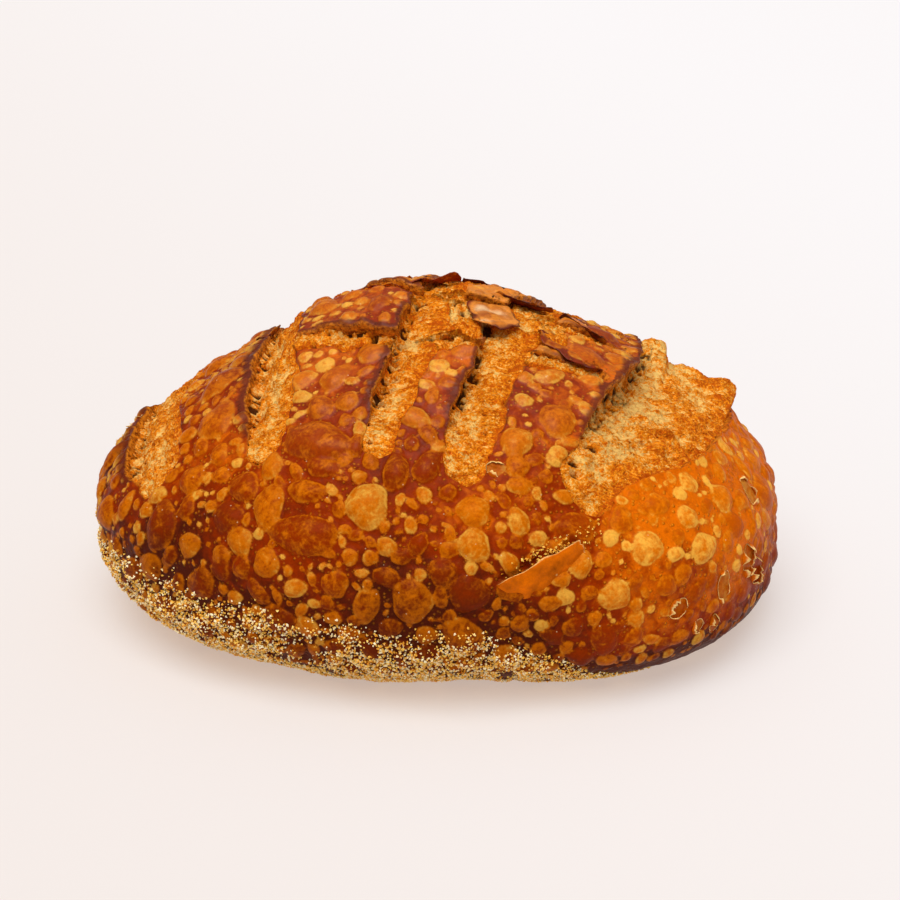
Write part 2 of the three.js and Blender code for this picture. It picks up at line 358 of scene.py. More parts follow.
@dataclass
class ScoreField:
    """What the scoring does at each of a set of points.

    Attributes:
        distance: how far outside every stroke's edge, negative inside one.
        lift: how far the crust is raised beside the strokes.
        floor: how high the crumb stands in the nearest stroke.
        ear: 1 beside or in the half of a stroke under its ear, else 0.
        across: the place across the nearest stroke, from -1 at its ear to 1.
        opening: how open the nearest stroke is.
        curl: how far, and which way, the ear's edge leans over the stroke.
        thread: places in which the crumb's threads run along the first axis.
    """

    distance: Array
    lift: Array
    floor: Array
    ear: Array
    across: Array
    opening: Array
    curl: Array
    thread: Array


@dataclass(frozen=True)
class Scoring:
    """The cross-hatch of strokes in the dome."""

    body: LoafBody
    strokes: tuple[Stroke, ...] = (
        Stroke((-98.2, -47.2), (-98.9, 58), -8.1, 10.6, 5.0, 1.8, -0.3, 1.0, tip=7.6, taper=0.12),
        Stroke((-57.7, -61.3), (-60.2, 66), -2.1, 8.9, 5.8, 2.2, -0.5, 1.2, tip=6.4, taper=0.12),
        Stroke((-17.8, -68.7), (10.8, 70), -0.2, 8.2, 5.8, 2.2, -0.5, 1.2, tip=5.9, taper=0.12),
        Stroke((11.6, -72), (42.7, 68), -0.1, 9.2, 5.4, 2.0, -0.5, 1.0, tip=8.6, taper=0.12),
        Stroke((53, -68), (71.2, 80), 20.6, 17.7, 8.5, 3.4, -1, 1.6, 9.5, 0.25, 6.5, (76.0, 116.0), 1.5),
        Stroke((-56, -19), (52, -26), 8, 4.4, 3.8, 1.6, 0.5, 2.0),
        Stroke((-46, 19), (60, 8), 18, 4.4, 3.6, 1.8, 0.5, 2.0),
        Stroke((-40, 45), (60, 34), 18, 4.6, 3.6, 1.6, 0.5, 1.8),
        Stroke((-2, -17), (33, -10), 0, 14, 1.8, 0.4, 0.8, 0.4, tip=10.0, taper=0.3),
    )
    tile_x: tuple[float, float] = (-58.0, -16.0)
    tile_y: tuple[float, float] = (-25.0, 14.0)
    tile_ease: float = 7.0
    tile_lift: float = 4.5
    ear_reach: float = 9.0
    curl_reach: float = 3.0
    lip_reach: float = 1.6
    far_swell: float = 0.4
    thread_pitch: float = 0.36
    ragged: tuple[tuple[float, float], ...] = ((11.0, 1.1), (3.6, 0.6))
    crest_height: tuple[float, float] = (98.0, 110.0)
    crest_ragged: tuple[float, float] = (9.0, 2.2)
    far_off: float = 1e3
    seed: int = 11

    def wobble(self, points: Array) -> Array:
        """How far the strokes' ragged edges stray from a smooth line, more so on the crest.

        Args:
            points: places on the body, one a row.

        Returns:
            The distance in millimetres, one value for each point.
        """
        grain = Grain(self.seed)
        size, height = self.crest_ragged
        crest = smooth(points[:, 2], *self.crest_height)
        torn = height * crest * grain.at(points + 19, size)
        return torn + sum(height * grain.at(points, size) for size, height in self.ragged)

    def tile(self, points: Array) -> Array:
        """How far the part of the crest that has sprung up between the strokes is lifted.

        Args:
            points: places on the body, one a row.

        Returns:
            The lift in millimetres, one value for each point.
        """
        ease = self.tile_ease
        sides = [
            smooth(value, low - ease, low + ease) * (1 - smooth(value, high - ease, high + ease))
            for value, (low, high) in ((points[:, 0], self.tile_x), (points[:, 1], self.tile_y))
        ]
        return self.tile_lift * sides[0] * sides[1]

    def distance(self, points: Array) -> Array:
        """The least distance to any stroke's edge, negative inside."""
        least = np.min([s.place(points)[0] for s in self.strokes], axis=0) + self.wobble(points)
        return np.where(points[:, 2] < self.body.waist_height, self.far_off, least)

    def read(self, points: Array) -> ScoreField:
        """What the scoring does at points of the smooth body.

        Args:
            points: places on the body, one a row.

        Returns:
            The field of the scoring at those places.
        """
        count = len(points)
        wobble = self.wobble(points)
        lift = np.zeros(count)
        curl = np.zeros((count, 3))
        best = np.full(count, np.inf)
        found = {name: np.zeros(count) for name in ("floor", "ear", "across", "opening")}
        thread = points.copy()
        for stroke in self.strokes:
            distance, across, opening, run = stroke.place(points)
            distance = distance + wobble
            beyond = np.maximum(distance, 0)
            ear = across < 0
            raised = np.where(ear, stroke.ear, self.far_swell * stroke.swell) * opening
            lift = np.maximum(lift, raised * np.exp(-beyond / self.ear_reach))
            lip = np.where(ear, 0, stroke.lip) * opening
            lift = np.maximum(lift, lip * np.exp(-beyond / self.lip_reach))
            _, right, _ = stroke.axes()
            lean = np.where(ear, stroke.curl * opening * np.exp(-beyond / self.curl_reach), 0)
            curl[:, :2] += lean[:, None] * right
            floor = stroke.floor(across, opening, run)
            nearer = distance < best
            deeper = (distance < 0) & (best < 0) & (floor < found["floor"])
            taken = (nearer & ~((best < 0) & (floor > found["floor"]))) | deeper
            for name, value in (("floor", floor), ("ear", ear), ("across", across), ("opening", opening)):
                found[name] = np.where(taken, value, found[name])
            aside = self.thread_pitch * (points[:, :2] @ right)
            thread = np.where(taken[:, None], np.stack([aside, run, points[:, 2]], 1), thread)
            best = np.minimum(best, distance)
        below = points[:, 2] < self.body.waist_height
        best[below] = self.far_off
        lift[below] = 0
        curl[below] = 0
        tile = self.tile(points)
        found["floor"] = found["floor"] + tile
        return ScoreField(best, lift + tile, curl=curl, thread=thread, **found)


@dataclass
class SkinMesh:
    """Triangles over the whole loaf, finer where a rule asks for it.

    Attributes:
        body: the smooth body that the triangles cover.
        limit: the longest edge wanted at points of the body.
        frequency: into how many parts each edge of the first icosahedron is divided.
        passes: how often long edges are split.
    """

    body: LoafBody
    limit: Callable[[Array], Array]
    frequency: int = 11
    passes: int = 7
    slack: float = 1.4
    longest_share: float = 0.75
    relax_steps: int = 3
    relax_share: float = 0.6
    directions: Array = field(init=False)
    triangles: Array = field(init=False)

    def __post_init__(self) -> None:
        """Makes the sphere, splits its edges and evens out the triangles."""
        self._sphere()
        for _ in range(self.passes):
            if not self._split():
                break
        for _ in range(self.relax_steps):
            self._relax()

    def _sphere(self) -> None:
        """The first triangles: an icosahedron, evenly divided and drawn out to the loaf's proportions."""
        shape = bmesh.new()
        bmesh.ops.create_icosphere(shape, subdivisions=1, radius=1)
        corners = np.array([v.co for v in shape.verts])
        faces = np.array([[v.index for v in f.verts] for f in shape.faces])
        shape.free()
        n = self.frequency
        steps = [(i, j) for i in range(n + 1) for j in range(n + 1 - i)]
        number = {step: k for k, step in enumerate(steps)}
        up = [((i, j), (i + 1, j), (i, j + 1)) for i, j in steps if i + j < n]
        down = [((i + 1, j), (i + 1, j + 1), (i, j + 1)) for i, j in steps if i + j < n - 1]
        divided = np.array([[number[step] for step in corner_steps] for corner_steps in up + down])
        weights = np.array([(n - i - j, i, j) for i, j in steps]) / n
        points = np.einsum("wk,fkc->fwc", weights, corners[faces]).reshape(-1, 3)
        triangles = divided[None] + len(steps) * np.arange(len(faces))[:, None, None]
        _, first, same = np.unique(points.round(5) + 0.0, axis=0, return_index=True, return_inverse=True)
        self.triangles = same.reshape(-1)[triangles.reshape(-1, 3)]
        spans = np.array([self.body.reach_left, self.body.half_width, self.body.dome_rise])
        self.directions = unit(points[first] * spans)

    def _edges(self) -> tuple[Array, Array]:
        """The edges of the triangles.

        Returns:
            Each edge once as two corners, and the edges of each triangle as numbers in that list.
        """
        t = self.triangles
        ends = np.sort(np.stack([t[:, [0, 1]], t[:, [1, 2]], t[:, [2, 0]]], 1).reshape(-1, 2), axis=1)
        keys = ends[:, 0].astype(np.int64) * len(self.directions) + ends[:, 1]
        _, first, number = np.unique(keys, return_index=True, return_inverse=True)
        return ends[first], number.reshape(-1, 3)

    def _split(self) -> bool:
        """Splits every edge that is too long once.

        Returns:
            Whether there was one.
        """
        points = self.body.point(self.directions)
        ends, sides = self._edges()
        length = np.linalg.norm(points[ends[:, 0]] - points[ends[:, 1]], axis=1)
        wanted = self.limit(points)
        long = length > self.slack * wanted[ends].min(1)
        side_length = length[sides]
        leading = side_length > self.longest_share * side_length.max(1, keepdims=True)
        leads = np.zeros(len(ends), bool)
        leads[sides[leading]] = True
        chosen = np.flatnonzero(long & leads)
        if not len(chosen):
            return False
        middle = np.full(len(ends), -1)
        middle[chosen] = len(self.directions) + np.arange(len(chosen))
        new = unit(self.directions[ends[chosen, 0]] + self.directions[ends[chosen, 1]])
        self.directions = np.vstack([self.directions, new])
        self.triangles = self._divided(self.triangles, middle[sides])
        return True

    @staticmethod
    def _divided(triangles: Array, middles: Array) -> Array:
        """The triangles cut at the new points on their edges, where there are any.

        Args:
            triangles: three corners a row.
            middles: the new point on each row's three edges, or -1.

        Returns:
            The triangles that replace them.
        """
        (a, b, c), (ab, bc, ca) = triangles.T, middles.T
        kind = (middles >= 0) @ np.array([1, 2, 4])
        plans = {
            0: [(a, b, c)],
            1: [(a, ab, c), (ab, b, c)],
            2: [(a, b, bc), (a, bc, c)],
            4: [(a, b, ca), (ca, b, c)],
            3: [(b, bc, ab), (bc, c, a), (bc, a, ab)],
            6: [(c, ca, bc), (ca, a, b), (ca, b, bc)],
            5: [(a, ab, ca), (ab, b, c), (ab, c, ca)],
            7: [(a, ab, ca), (ab, b, bc), (ca, bc, c), (ab, bc, ca)],
        }
        parts = [np.stack(corners, 1)[kind == k] for k, rows in plans.items() for corners in rows]
        return np.vstack(parts)

    def _relax(self) -> None:
        """Moves each corner towards the middle of its neighbours, along the body."""
        points = self.body.point(self.directions)
        ends, _ = self._edges()
        count = np.bincount(ends.ravel(), minlength=len(points))
        middle = np.zeros_like(points)
        for k in range(3):
            middle[:, k] = np.bincount(ends[:, 0], points[ends[:, 1], k], len(points))
            middle[:, k] += np.bincount(ends[:, 1], points[ends[:, 0], k], len(points))
        moved = mix(points, middle / count[:, None], self.relax_share)
        self.directions = unit(self.body.from_middle(moved))

    def snap(self, distance: Callable[[Array], Array], band: float, steps: int = 4) -> None:
        """Moves corners that lie near a line on the dome onto it.

        Args:
            distance: the signed distance from the line, in plan.
            band: how near a corner must be.
            steps: how often each corner is moved.
        """
        points = self.body.point(self.directions)
        near = np.flatnonzero(np.abs(distance(points)) < band)
        d = self.directions[near]
        nudge = self.body.gradient_step
        for _ in range(steps):
            p = self.body.point(d)
            here = distance(p)
            slope = np.stack([distance(p + nudge * axis) - here for axis in np.eye(3)[:2]], 1) / nudge
            pace = here / np.maximum((slope**2).sum(1), 0.5)
            p[:, :2] -= np.clip(pace, -band, band)[:, None] * slope
            d = unit(self.body.from_middle(p))
        self.directions[near] = d


class BlisterState(Enum):
    """What became of a blister in the oven."""

    WHOLE = "whole"
    BURST = "burst"


@dataclass(frozen=True)
class Blister:
    """One blister of the crust.

    Attributes:
        centre: its middle on the smooth body.
        radius: half its mean width.
        stretch: its length over its width, along a turned axis.
        turn: that axis's angle.
        tone: from 0, baked dark, to 1, pale.
        state: whether its skin is whole.
        number: its place in the order of making, for draws of its own.
    """

    centre: Array
    radius: float
    stretch: float
    turn: float
    tone: float
    state: BlisterState
    number: int

    # Each swing of the rim: how often it goes in and out, how far, and the draw that turns it.
    swings = ((2, 0.05, 3001), (3, 0.06, 4001), (5, 0.03, 5001))

    def reach(self, u: Array, v: Array) -> Array:
        """How far out points of its tangent plane lie.

        Args:
            u: the points' level distances from its middle.
            v: their distances up the slope.

        Returns:
            The shares of the way to its uneven rim.
        """
        c, s = math.cos(self.turn), math.sin(self.turn)
        along = (c * u + s * v) / math.sqrt(self.stretch)
        aside = (c * v - s * u) * math.sqrt(self.stretch)
        angle = np.arctan2(aside, along)
        rim = 1.0
        for lobes, far, key in self.swings:
            rim = rim + far * np.cos(lobes * angle + FULL_TURN * draw(self.number + key))
        return np.hypot(along, aside) / (self.radius * rim)


@dataclass(frozen=True)
class Mark:
    """A blister that stands out on the front: where it is along the loaf and in height, and its look."""

    x: float
    z: float
    radius: float
    tone: float
    stretch: float = 1.0
    turn: float = 0.0
    state: BlisterState = BlisterState.WHOLE


BURST = BlisterState.BURST
UPRIGHT = math.pi / 2
FRONT_MARKS = (
    Mark(-84, 71, 5.6, 0.35), Mark(-64, 74, 6.1, 0.2, 1.3), Mark(-73, 75, 3.5, 0.4),
    Mark(-69, 65, 6.0, 0.05), Mark(-54, 70, 7.0, 0.45, 1.4, UPRIGHT), Mark(-41, 76, 5.5, 0.35, 1.6),
    Mark(-20, 74, 7.7, 0.75), Mark(-39, 89, 10.0, 0.25, 2.0), Mark(-41, 64, 9.3, 0.2, 1.7),
    Mark(-30, 50, 4.9, 0.3), Mark(-71, 53, 3.9, 0.35), Mark(-71, 48, 4.2, 0.1),
    Mark(-63, 51, 4.1, 0.25, 1.4, UPRIGHT), Mark(-110, 55, 4.7, 0.5, 1.8, UPRIGHT),
    Mark(-25, 59, 3.0, 0.4), Mark(-13, 63, 3.5, 0.6), Mark(-4, 46, 7.4, 0.35), Mark(-77, 85, 8.2, 0.4),
    Mark(-36, 83, 5.2, 0.2, 1.4), Mark(-77, 95, 3.7, 0.4), Mark(41, 94, 6.7, 0.4), Mark(42, 86, 4.2, 0.75),
    Mark(50, 99, 3.9, 0.65), Mark(8, 112, 5.1, 0.35, 1.3), Mark(73, 58, 6.0, 0.8),
    Mark(92, 53, 5.8, 0.8, 1.3), Mark(63, 45, 5.8, 0.75), Mark(86, 71, 4.2, 0.75), Mark(86, 63, 4.4, 0.8),
    Mark(76, 69, 4.4, 0.35),
    Mark(61, 63, 3.0, 0.95), Mark(16, 64, 5.8, 0.7), Mark(15, 49, 6.8, 0.02), Mark(47, 46, 3.3, 0.95),
    Mark(42, 44, 3.7, 0.4, 1.5), Mark(32, 37, 3.5, 0.4), Mark(39, 36, 2.5, 0.9), Mark(29, 85, 4.4, 0.4),
    Mark(30, 80, 3.8, 0.5, 1.4), Mark(70, 35, 3.3, 0.6), Mark(59, 57, 3.1, 0.4), Mark(97, 69, 3.7, 0.5),
    Mark(109, 59, 4.6, 0.8, 2.0, UPRIGHT, BURST), Mark(109, 40, 5.3, 0.6, 1.6, UPRIGHT, BURST),
    Mark(84, 35, 4.0, 0.5, 1.0, 0.0, BURST), Mark(100, 36, 4.6, 0.7, 2.2, UPRIGHT, BURST),
    Mark(91, 25, 2.7, 0.6, 1.2, UPRIGHT, BURST), Mark(97, 23, 3.1, 0.6, 1.6, UPRIGHT, BURST),
    Mark(22, 85, 3.2, 0.7, 1.0, 0.0, BURST),
)


@dataclass
class BlisterField:
    """What the blisters do at each of a set of points.

    Attributes:
        height: how far the crust is raised.
        inside: how far in from the nearest rim, negative outside.
        crown: from 0 at the rim of the nearest blister to 1 at its middle.
        tone: how pale the nearest blister is.
        burst: how much a point lies in a blister whose skin is gone.
    """

    height: Array
    inside: Array
    crown: Array
    tone: Array
    burst: Array


@dataclass
class Blisters:
    """All blisters of the crust: the marks on the front, the solid's large ones, and ever smaller ones.

    Attributes:
        body: the smooth body that they sit on.
        scoring: the strokes that they keep clear of.
        sizes: for each size of small blister, its least and greatest radius, how many are tried for, and
            how much of their radii they keep clear of each other.
    """

    body: LoafBody
    scoring: Scoring
    sizes: tuple[tuple[float, float, int, float], ...] = (
        (3.8, 6.4, 900, 0.9),
        (2.1, 3.8, 6000, 0.88),
        (1.1, 2.1, 18000, 0.98),
    )
    spiral_sites: int = 150
    spiral_radius: tuple[float, float] = (4.8, 8.5)
    spiral_keep: float = 0.9
    spiral_stretch: float = 1.5
    spiral_tone: tuple[float, float] = (0.1, 0.5)
    spiral_lowest: float = 16.0
    spiral_gap: float = 0.6
    small_stretch: float = 1.7
    small_bias: float = 1.5
    stroke_gap: tuple[float, float] = (0.35, 0.6)
    burst_chance: float = 0.97
    burst_radius: float = 2.5
    burst_end: float = 95.0
    burst_depth: float = 0.5
    height_share: tuple[float, float] = (0.54, 0.38)
    height_ease: tuple[float, float] = (20.0, 90.0)
    height_power: float = 0.85
    crown_power: float = 0.7
    lowest: float = 13.0
    outside_shown: float = 3.0
    seed: int = 23
    found: list[Blister] = field(default_factory=list)

    def scatter(self, places: Array) -> None:
        """Chooses the blisters.

        Args:
            places: points spread evenly over the smooth body, from which small blisters draw their centres.
        """
        rng = np.random.default_rng(self.seed)
        spots = np.array([(mark.x, mark.z) for mark in FRONT_MARKS], float)
        for mark, centre in zip(FRONT_MARKS, self.body.on_front(*spots.T)):
            self._add(centre, mark.radius, mark.stretch, mark.turn, mark.tone, mark.state)
        for centre, radius in self._spiral():
            if self._clear(centre, radius, self.spiral_keep):
                stretch = mix(1, self.spiral_stretch, rng.random())
                turn = HALF_TURN * rng.random()
                self._add(centre, radius, stretch, turn, mix(*self.spiral_tone, rng.random()))
        distance = self.scoring.distance(places)
        gap_share, least_gap = self.stroke_gap
        for least, most, tries, keep in self.sizes:
            for k in rng.integers(len(places), size=tries):
                radius = mix(least, most, rng.random() ** self.small_bias)
                stretch = mix(1, self.small_stretch, rng.random() ** self.small_bias)
                turn, luck, chance = rng.random(3)
                centre = places[k]
                if centre[2] < self.lowest + radius or distance[k] < gap_share * radius + least_gap:
                    continue
                if self._clear(centre, radius, keep):
                    tone = self._tone(centre, radius, luck)
                    unseen = centre[1] > 0 or centre[0] > self.burst_end
                    torn = chance > self.burst_chance and radius > self.burst_radius and unseen
                    state = BlisterState.BURST if torn else BlisterState.WHOLE
                    self._add(centre, radius, stretch, HALF_TURN * turn, tone, state)
        log.info("%d blisters", len(self.found))

    def _tone(self, centre: Array, radius: float, luck: float) -> float:
        """How pale a blister is: small ones and those towards the ends are paler, high ones paler partly as
        a painted sheen, low ones darker.

        Args:
            centre: its middle.
            radius: its radius.
            luck: a draw from 0 to 1.

        Returns:
            The tone from 0, baked dark, to 1, pale.
        """
        x, _, z = centre
        small = smooth(-radius, -6, -1.5)
        left, right = smooth(-x, -10, 60), smooth(x, -50, 100)
        low, high = smooth(-z, -60, -25), smooth(z, 90, 108)
        spread = luck**1.6 * (0.48 + 0.1 * right + 0.3 * small * right + 0.12 * left)
        # The high term is partly a painted sheen on the crest.
        tone = 0.06 + 0.12 * small + 0.2 * left + 0.14 * high + 0.06 * right - 0.2 * low + spread
        return float(np.clip(tone, 0, 1))

    def _add(self, centre: Array, radius: float, stretch: float, turn: float, tone: float,
             state: BlisterState = BlisterState.WHOLE) -> None:
        """Takes one blister into the crust."""
        self.found.append(Blister(centre, radius, stretch, turn, tone, state, len(self.found)))

    def _spiral(self) -> Iterable[tuple[Array, float]]:
        """The solid's large blisters, along a golden-angle spiral.

        Returns:
            The centre and the radius of each in turn.
        """
        for n in range(self.spiral_sites):
            z = 1 - 2 * (n + 0.5) / self.spiral_sites
            turn = n * GOLDEN_ANGLE + 0.5 * draw(n)
            s = math.sqrt(1 - z * z)
            centre = self.body.point(np.array([[s * math.cos(turn), s * math.sin(turn), z]]))[0]
            radius = mix(*self.spiral_radius, draw(n + 500) ** 1.6)
            clear = self.scoring.distance(centre[None])[0] > self.spiral_gap * radius
            if clear and centre[2] > self.spiral_lowest:
                yield centre, radius

    def _clear(self, centre: Array, radius: float, keep: float) -> bool:
        """Whether a blister would stand clear enough of those already there.

        Args:
            centre: its middle.
            radius: its radius.
            keep: how much of the two radii has to lie between the middles.

        Returns:
            True where it would.
        """
        if not self.found:
            return True
        centres = np.array([b.centre for b in self.found])
        radii = np.array([b.radius for b in self.found])
        gaps = np.linalg.norm(centres - centre, axis=1)
        return bool((gaps > keep * (radii + radius)).all())

    def read(self, points: Array, normals: Array) -> BlisterField:
        """What the blisters do at points of the smooth body.

        Args:
            points: places on the body, one a row.
            normals: the body's normals there.

        Returns:
            The field of the blisters at those places.
        """
        count = len(points)
        height, crown, tone, burst = np.zeros((4, count))
        out = BlisterField(height, np.full(count, -self.outside_shown), crown, tone, burst)
        tree = KDTree(count)
        for k, p in enumerate(points):
            tree.insert(p, k)
        tree.balance()
        for blister in self.found:
            span = 1.25 * blister.radius * math.sqrt(blister.stretch) + self.outside_shown
            hits = np.array([k for _, k, _ in tree.find_range(blister.centre, span)], dtype=int)
            if len(hits):
                self._raise(blister, points, normals, hits, out)
        return out

    def _raise(
        self, blister: Blister, points: Array, normals: Array, hits: Array, out: BlisterField
    ) -> None:
        """Adds one blister to the field.

        Args:
            blister: the blister.
            points: all places of the field.
            normals: the body's normals there.
            hits: the numbers of the places near the blister.
            out: the field, which is changed.
        """
        offset = points[hits] - blister.centre
        level, steep = level_axes(normals[hits[np.argmin(np.linalg.norm(offset, axis=1))]])
        reach = blister.reach(offset @ level, offset @ steep)
        inside = (1 - reach) * blister.radius
        crown = np.clip(1 - reach * reach, 0, 1)
        burst = blister.state is BlisterState.BURST
        gone = float(burst) * smooth(inside, -0.2, 0.3)
        nearer = inside > out.inside[hits]
        taken = ((out.inside, inside), (out.tone, blister.tone), (out.burst, gone), (out.crown, crown))
        for layer, value in taken:
            layer[hits] = np.where(nearer, value, layer[hits])
        before = out.height[hits]
        if burst:
            out.height[hits] = np.where(inside > 0, -self.burst_depth * np.sqrt(crown), before)
        else:
            share = mix(*self.height_share, float(smooth(blister.centre[0], *self.height_ease)))
            tall = share * blister.radius**self.height_power
            out.height[hits] = np.maximum(before, tall * crown**self.crown_power)


@dataclass(frozen=True)
class BurstFlap:
    """A large blister on the front, burst along its upper edge: its skin stands out as a pocket."""

    start: tuple[float, float] = (24, 52)
    end: tuple[float, float] = (51.5, 63.5)
    drop: float = 10.5
    height: float = 3.4
    thickness: float = 0.55
    hollow: float = 1.4
    length: float = 31.0
    pale_edge: tuple[float, float] = (1.1, 1.2)
    columns: int = 44
    rows: int = 14
    seed: int = 97

    def read(self, points: Array) -> Array:
        """How far the crust is sunk behind the flap.

        Args:
            points: places on the smooth body, one a row.

        Returns:
            The relief in millimetres, one value for each point.
        """
        (x0, z0), (x1, z1) = self.start, self.end
        t = (points[:, 0] - x0) / (x1 - x0)
        down = mix(z0, z1, t) - points[:, 2]
        bulge = np.sqrt(np.clip(4 * t * (1 - t), 0, 1))
        sunk = smooth(down, -3.5, -0.5) * (1 - smooth(down, 0.4 * self.drop, 0.9 * self.drop))
        return np.where(points[:, 1] < 0, -self.hollow * bulge * sunk, 0)

    def sheet(self, body: LoafBody) -> tuple[Array, Array, Array]:
        """The flap's skin as a grid of points.

        Args:
            body: the smooth body that the flap hangs on.

        Returns:
            The points, their normals, and how near each is to the torn edge, from 0 to 1.
        """
        grain = Grain(self.seed)
        across, down = np.meshgrid(np.linspace(0, 1, self.columns), np.linspace(0, 1, self.rows))
        u, v = across.ravel(), down.ravel()
        bulge = np.minimum(1, 7 * np.minimum(u + 0.02, 1.04 - u)) ** 0.6
        blade = np.minimum(1, (u + 0.004) / 0.36) ** 0.62
        flare = 2.6 * v * smooth(u, 0.75, 1) - 1.2 * smooth(u, 0.85, 1) * (1 - v) ** 3
        fall = self.drop * v * blade * (1 - 0.45 * smooth(u, 0.45, 1))
        arch = 4 * u * (1 - u) * (1 - v)
        tatter = grain.at(np.stack([8 * u, 11 * v, np.full(u.size, 7.0)], 1), 1.6)
        x = mix(self.start[0], self.end[0], u) + flare + 0.9 * tatter * smooth(u, 0.8, 1)
        z = mix(self.start[1], self.end[1], u) - fall + arch
        z = z + 0.7 * tatter * smooth(np.abs(v - 0.5), 0.3, 0.5)
        base = body.on_front(x, z)
        normal = body.normal(base)
        ragged = grain.at(np.stack([x, z, np.zeros(x.size)], 1), 5.0)
        open_share = (1 - v) ** 0.9 * bulge * (0.8 + 0.2 * u)
        off = self.height * open_share + 0.9 * ragged * (0.3 + open_share) - 0.5 * v**4
        points = base + normal * (body.lumps(base) + off)[:, None]
        points[:, 2] += 0.5 * ragged * (1 - v)
        upper, end = self.pale_edge
        edge = np.clip(np.maximum(1 - v * self.drop / upper, 1 - (1 - u) * self.length / end), 0, 1)
        shape = (self.rows, self.columns)
        return points.reshape(*shape, 3), normal.reshape(*shape, 3), edge.reshape(shape)


def closed_shell(
    sheet: Array, normals: Array, thickness: Union[Array, float], wrapped: bool = False
) -> tuple[Array, Array]:
    """A thin solid round a grid of points.

    Args:
        sheet: the grid's points, by row and column.
        normals: the normals there.
        thickness: how thick the solid is, as one value or one for each point.
        wrapped: whether the last column joins the first.

    Returns:
        The solid's points, first those of the outer side, and its triangles.
    """
    rows, columns = sheet.shape[:2]
    half = 0.5 * np.broadcast_to(thickness, (rows, columns))[..., None] * normals
    points = np.concatenate([(sheet + half).reshape(-1, 3), (sheet - half).reshape(-1, 3)])
    number = np.arange(rows * columns).reshape(rows, columns)
    if wrapped:
        number = np.concatenate([number, number[:, :1]], 1)
    a, b = number[:-1, :-1].ravel(), number[:-1, 1:].ravel()
    d, c = number[1:, :-1].ravel(), number[1:, 1:].ravel()
    outer = np.concatenate([np.stack([a, d, c], 1), np.stack([a, c, b], 1)])
    inner = outer[:, ::-1] + rows * columns
    borders = [number[0], number[-1, ::-1]]
    if not wrapped:
        borders += [number[:, -1], number[::-1, 0]]
    walls = []
    for line in borders:
        p, q = line[:-1], line[1:]
        walls.append(np.stack([p, q, q + rows * columns], 1))
        walls.append(np.stack([p, q + rows * columns, p + rows * columns], 1))
    triangles = np.concatenate([outer, inner, *walls])
    first = points[outer]
    facing = np.cross(first[:, 1] - first[:, 0], first[:, 2] - first[:, 0]).sum(0)
    flipped = (facing * normals.reshape(-1, 3).mean(0)).sum() < 0 and not wrapped
    return points, triangles[:, ::-1] if flipped else triangles


Value = Union["Wire", float]


class Wire:
    """A shader socket that Python's operators work on, each adding a Math node."""

    def __init__(self, graph: "NodeTree", socket: bpy.types.NodeSocket) -> None:
        """Holds a socket of a graph."""
        self.graph = graph
        self.socket = socket

    def _math(self, operation: str, *values: Value) -> "Wire":
        """A Math node on values in order."""
        return self.graph.node("ShaderNodeMath", {"operation": operation}, dict(enumerate(values)))

    def __add__(self, other: Value) -> "Wire":
        """The sum."""
        return self._math("ADD", self, other)

    __radd__ = __add__

    def __sub__(self, other: Value) -> "Wire":
        """The difference."""
        return self._math("SUBTRACT", self, other)

    def __rsub__(self, other: float) -> "Wire":
        """The difference the other way round."""
        return self._math("SUBTRACT", other, self)

    def __mul__(self, other: Value) -> "Wire":
        """The product."""
        return self._math("MULTIPLY", self, other)

    __rmul__ = __mul__

    def most(self, other: Value) -> "Wire":
        """The larger of the two."""
        return self._math("MAXIMUM", self, other)

    def clip(self) -> "Wire":
        """The value, kept from 0 to 1."""
        floor = self.most(0.0)
        return floor._math("MINIMUM", floor, 1.0)

    def ease(self, low: float, high: float) -> "Wire":
        """Eases from 0 at `low` to 1 at `high`."""
        inputs = {"Value": self, "From Min": low, "From Max": high}
        return self.graph.node("ShaderNodeMapRange", {"interpolation_type": "SMOOTHSTEP"}, inputs)


class NodeTree:
    """The nodes of a material or of the world."""

    def __init__(self, tree: bpy.types.NodeTree, space: str) -> None:
        """Empties a tree.

        Args:
            tree: the tree of a material or of the world.
            space: the coordinates that its patterns are read in.
        """
        self.tree = tree
        self.tree.nodes.clear()
        self.place = self.node("ShaderNodeTexCoord", {}, {}, space)

    def node(
        self, kind: str, settings: dict[str, Any], inputs: dict[Any, Any], output: Union[str, int] = 0
    ) -> Wire:
        """Adds a node.

        Args:
            kind: the node's type.
            settings: its properties, set first.
            inputs: values or wires for its sockets, by name or number.
            output: the socket that is handed back.

        Returns:
            That socket as a wire.
        """
        node = self.tree.nodes.new(kind)
        for name, value in settings.items():
            setattr(node, name, value)
        for key, value in inputs.items():
            if isinstance(value, Wire):
                self.tree.links.new(value.socket, node.inputs[key])
            else:
                node.inputs[key].default_value = value
        return Wire(self, node.outputs[output])

    def axis(self, name: str) -> Wire:
        """One coordinate of the place, by its axis."""
        return self.node("ShaderNodeSeparateXYZ", {}, {0: self.place}, name)

    def end(self, kind: str, shader: Wire) -> None:
        """Ends the tree with a shader in an output node."""
        output = self.tree.nodes.new(kind)
        self.tree.links.new(shader.socket, output.inputs["Surface"])


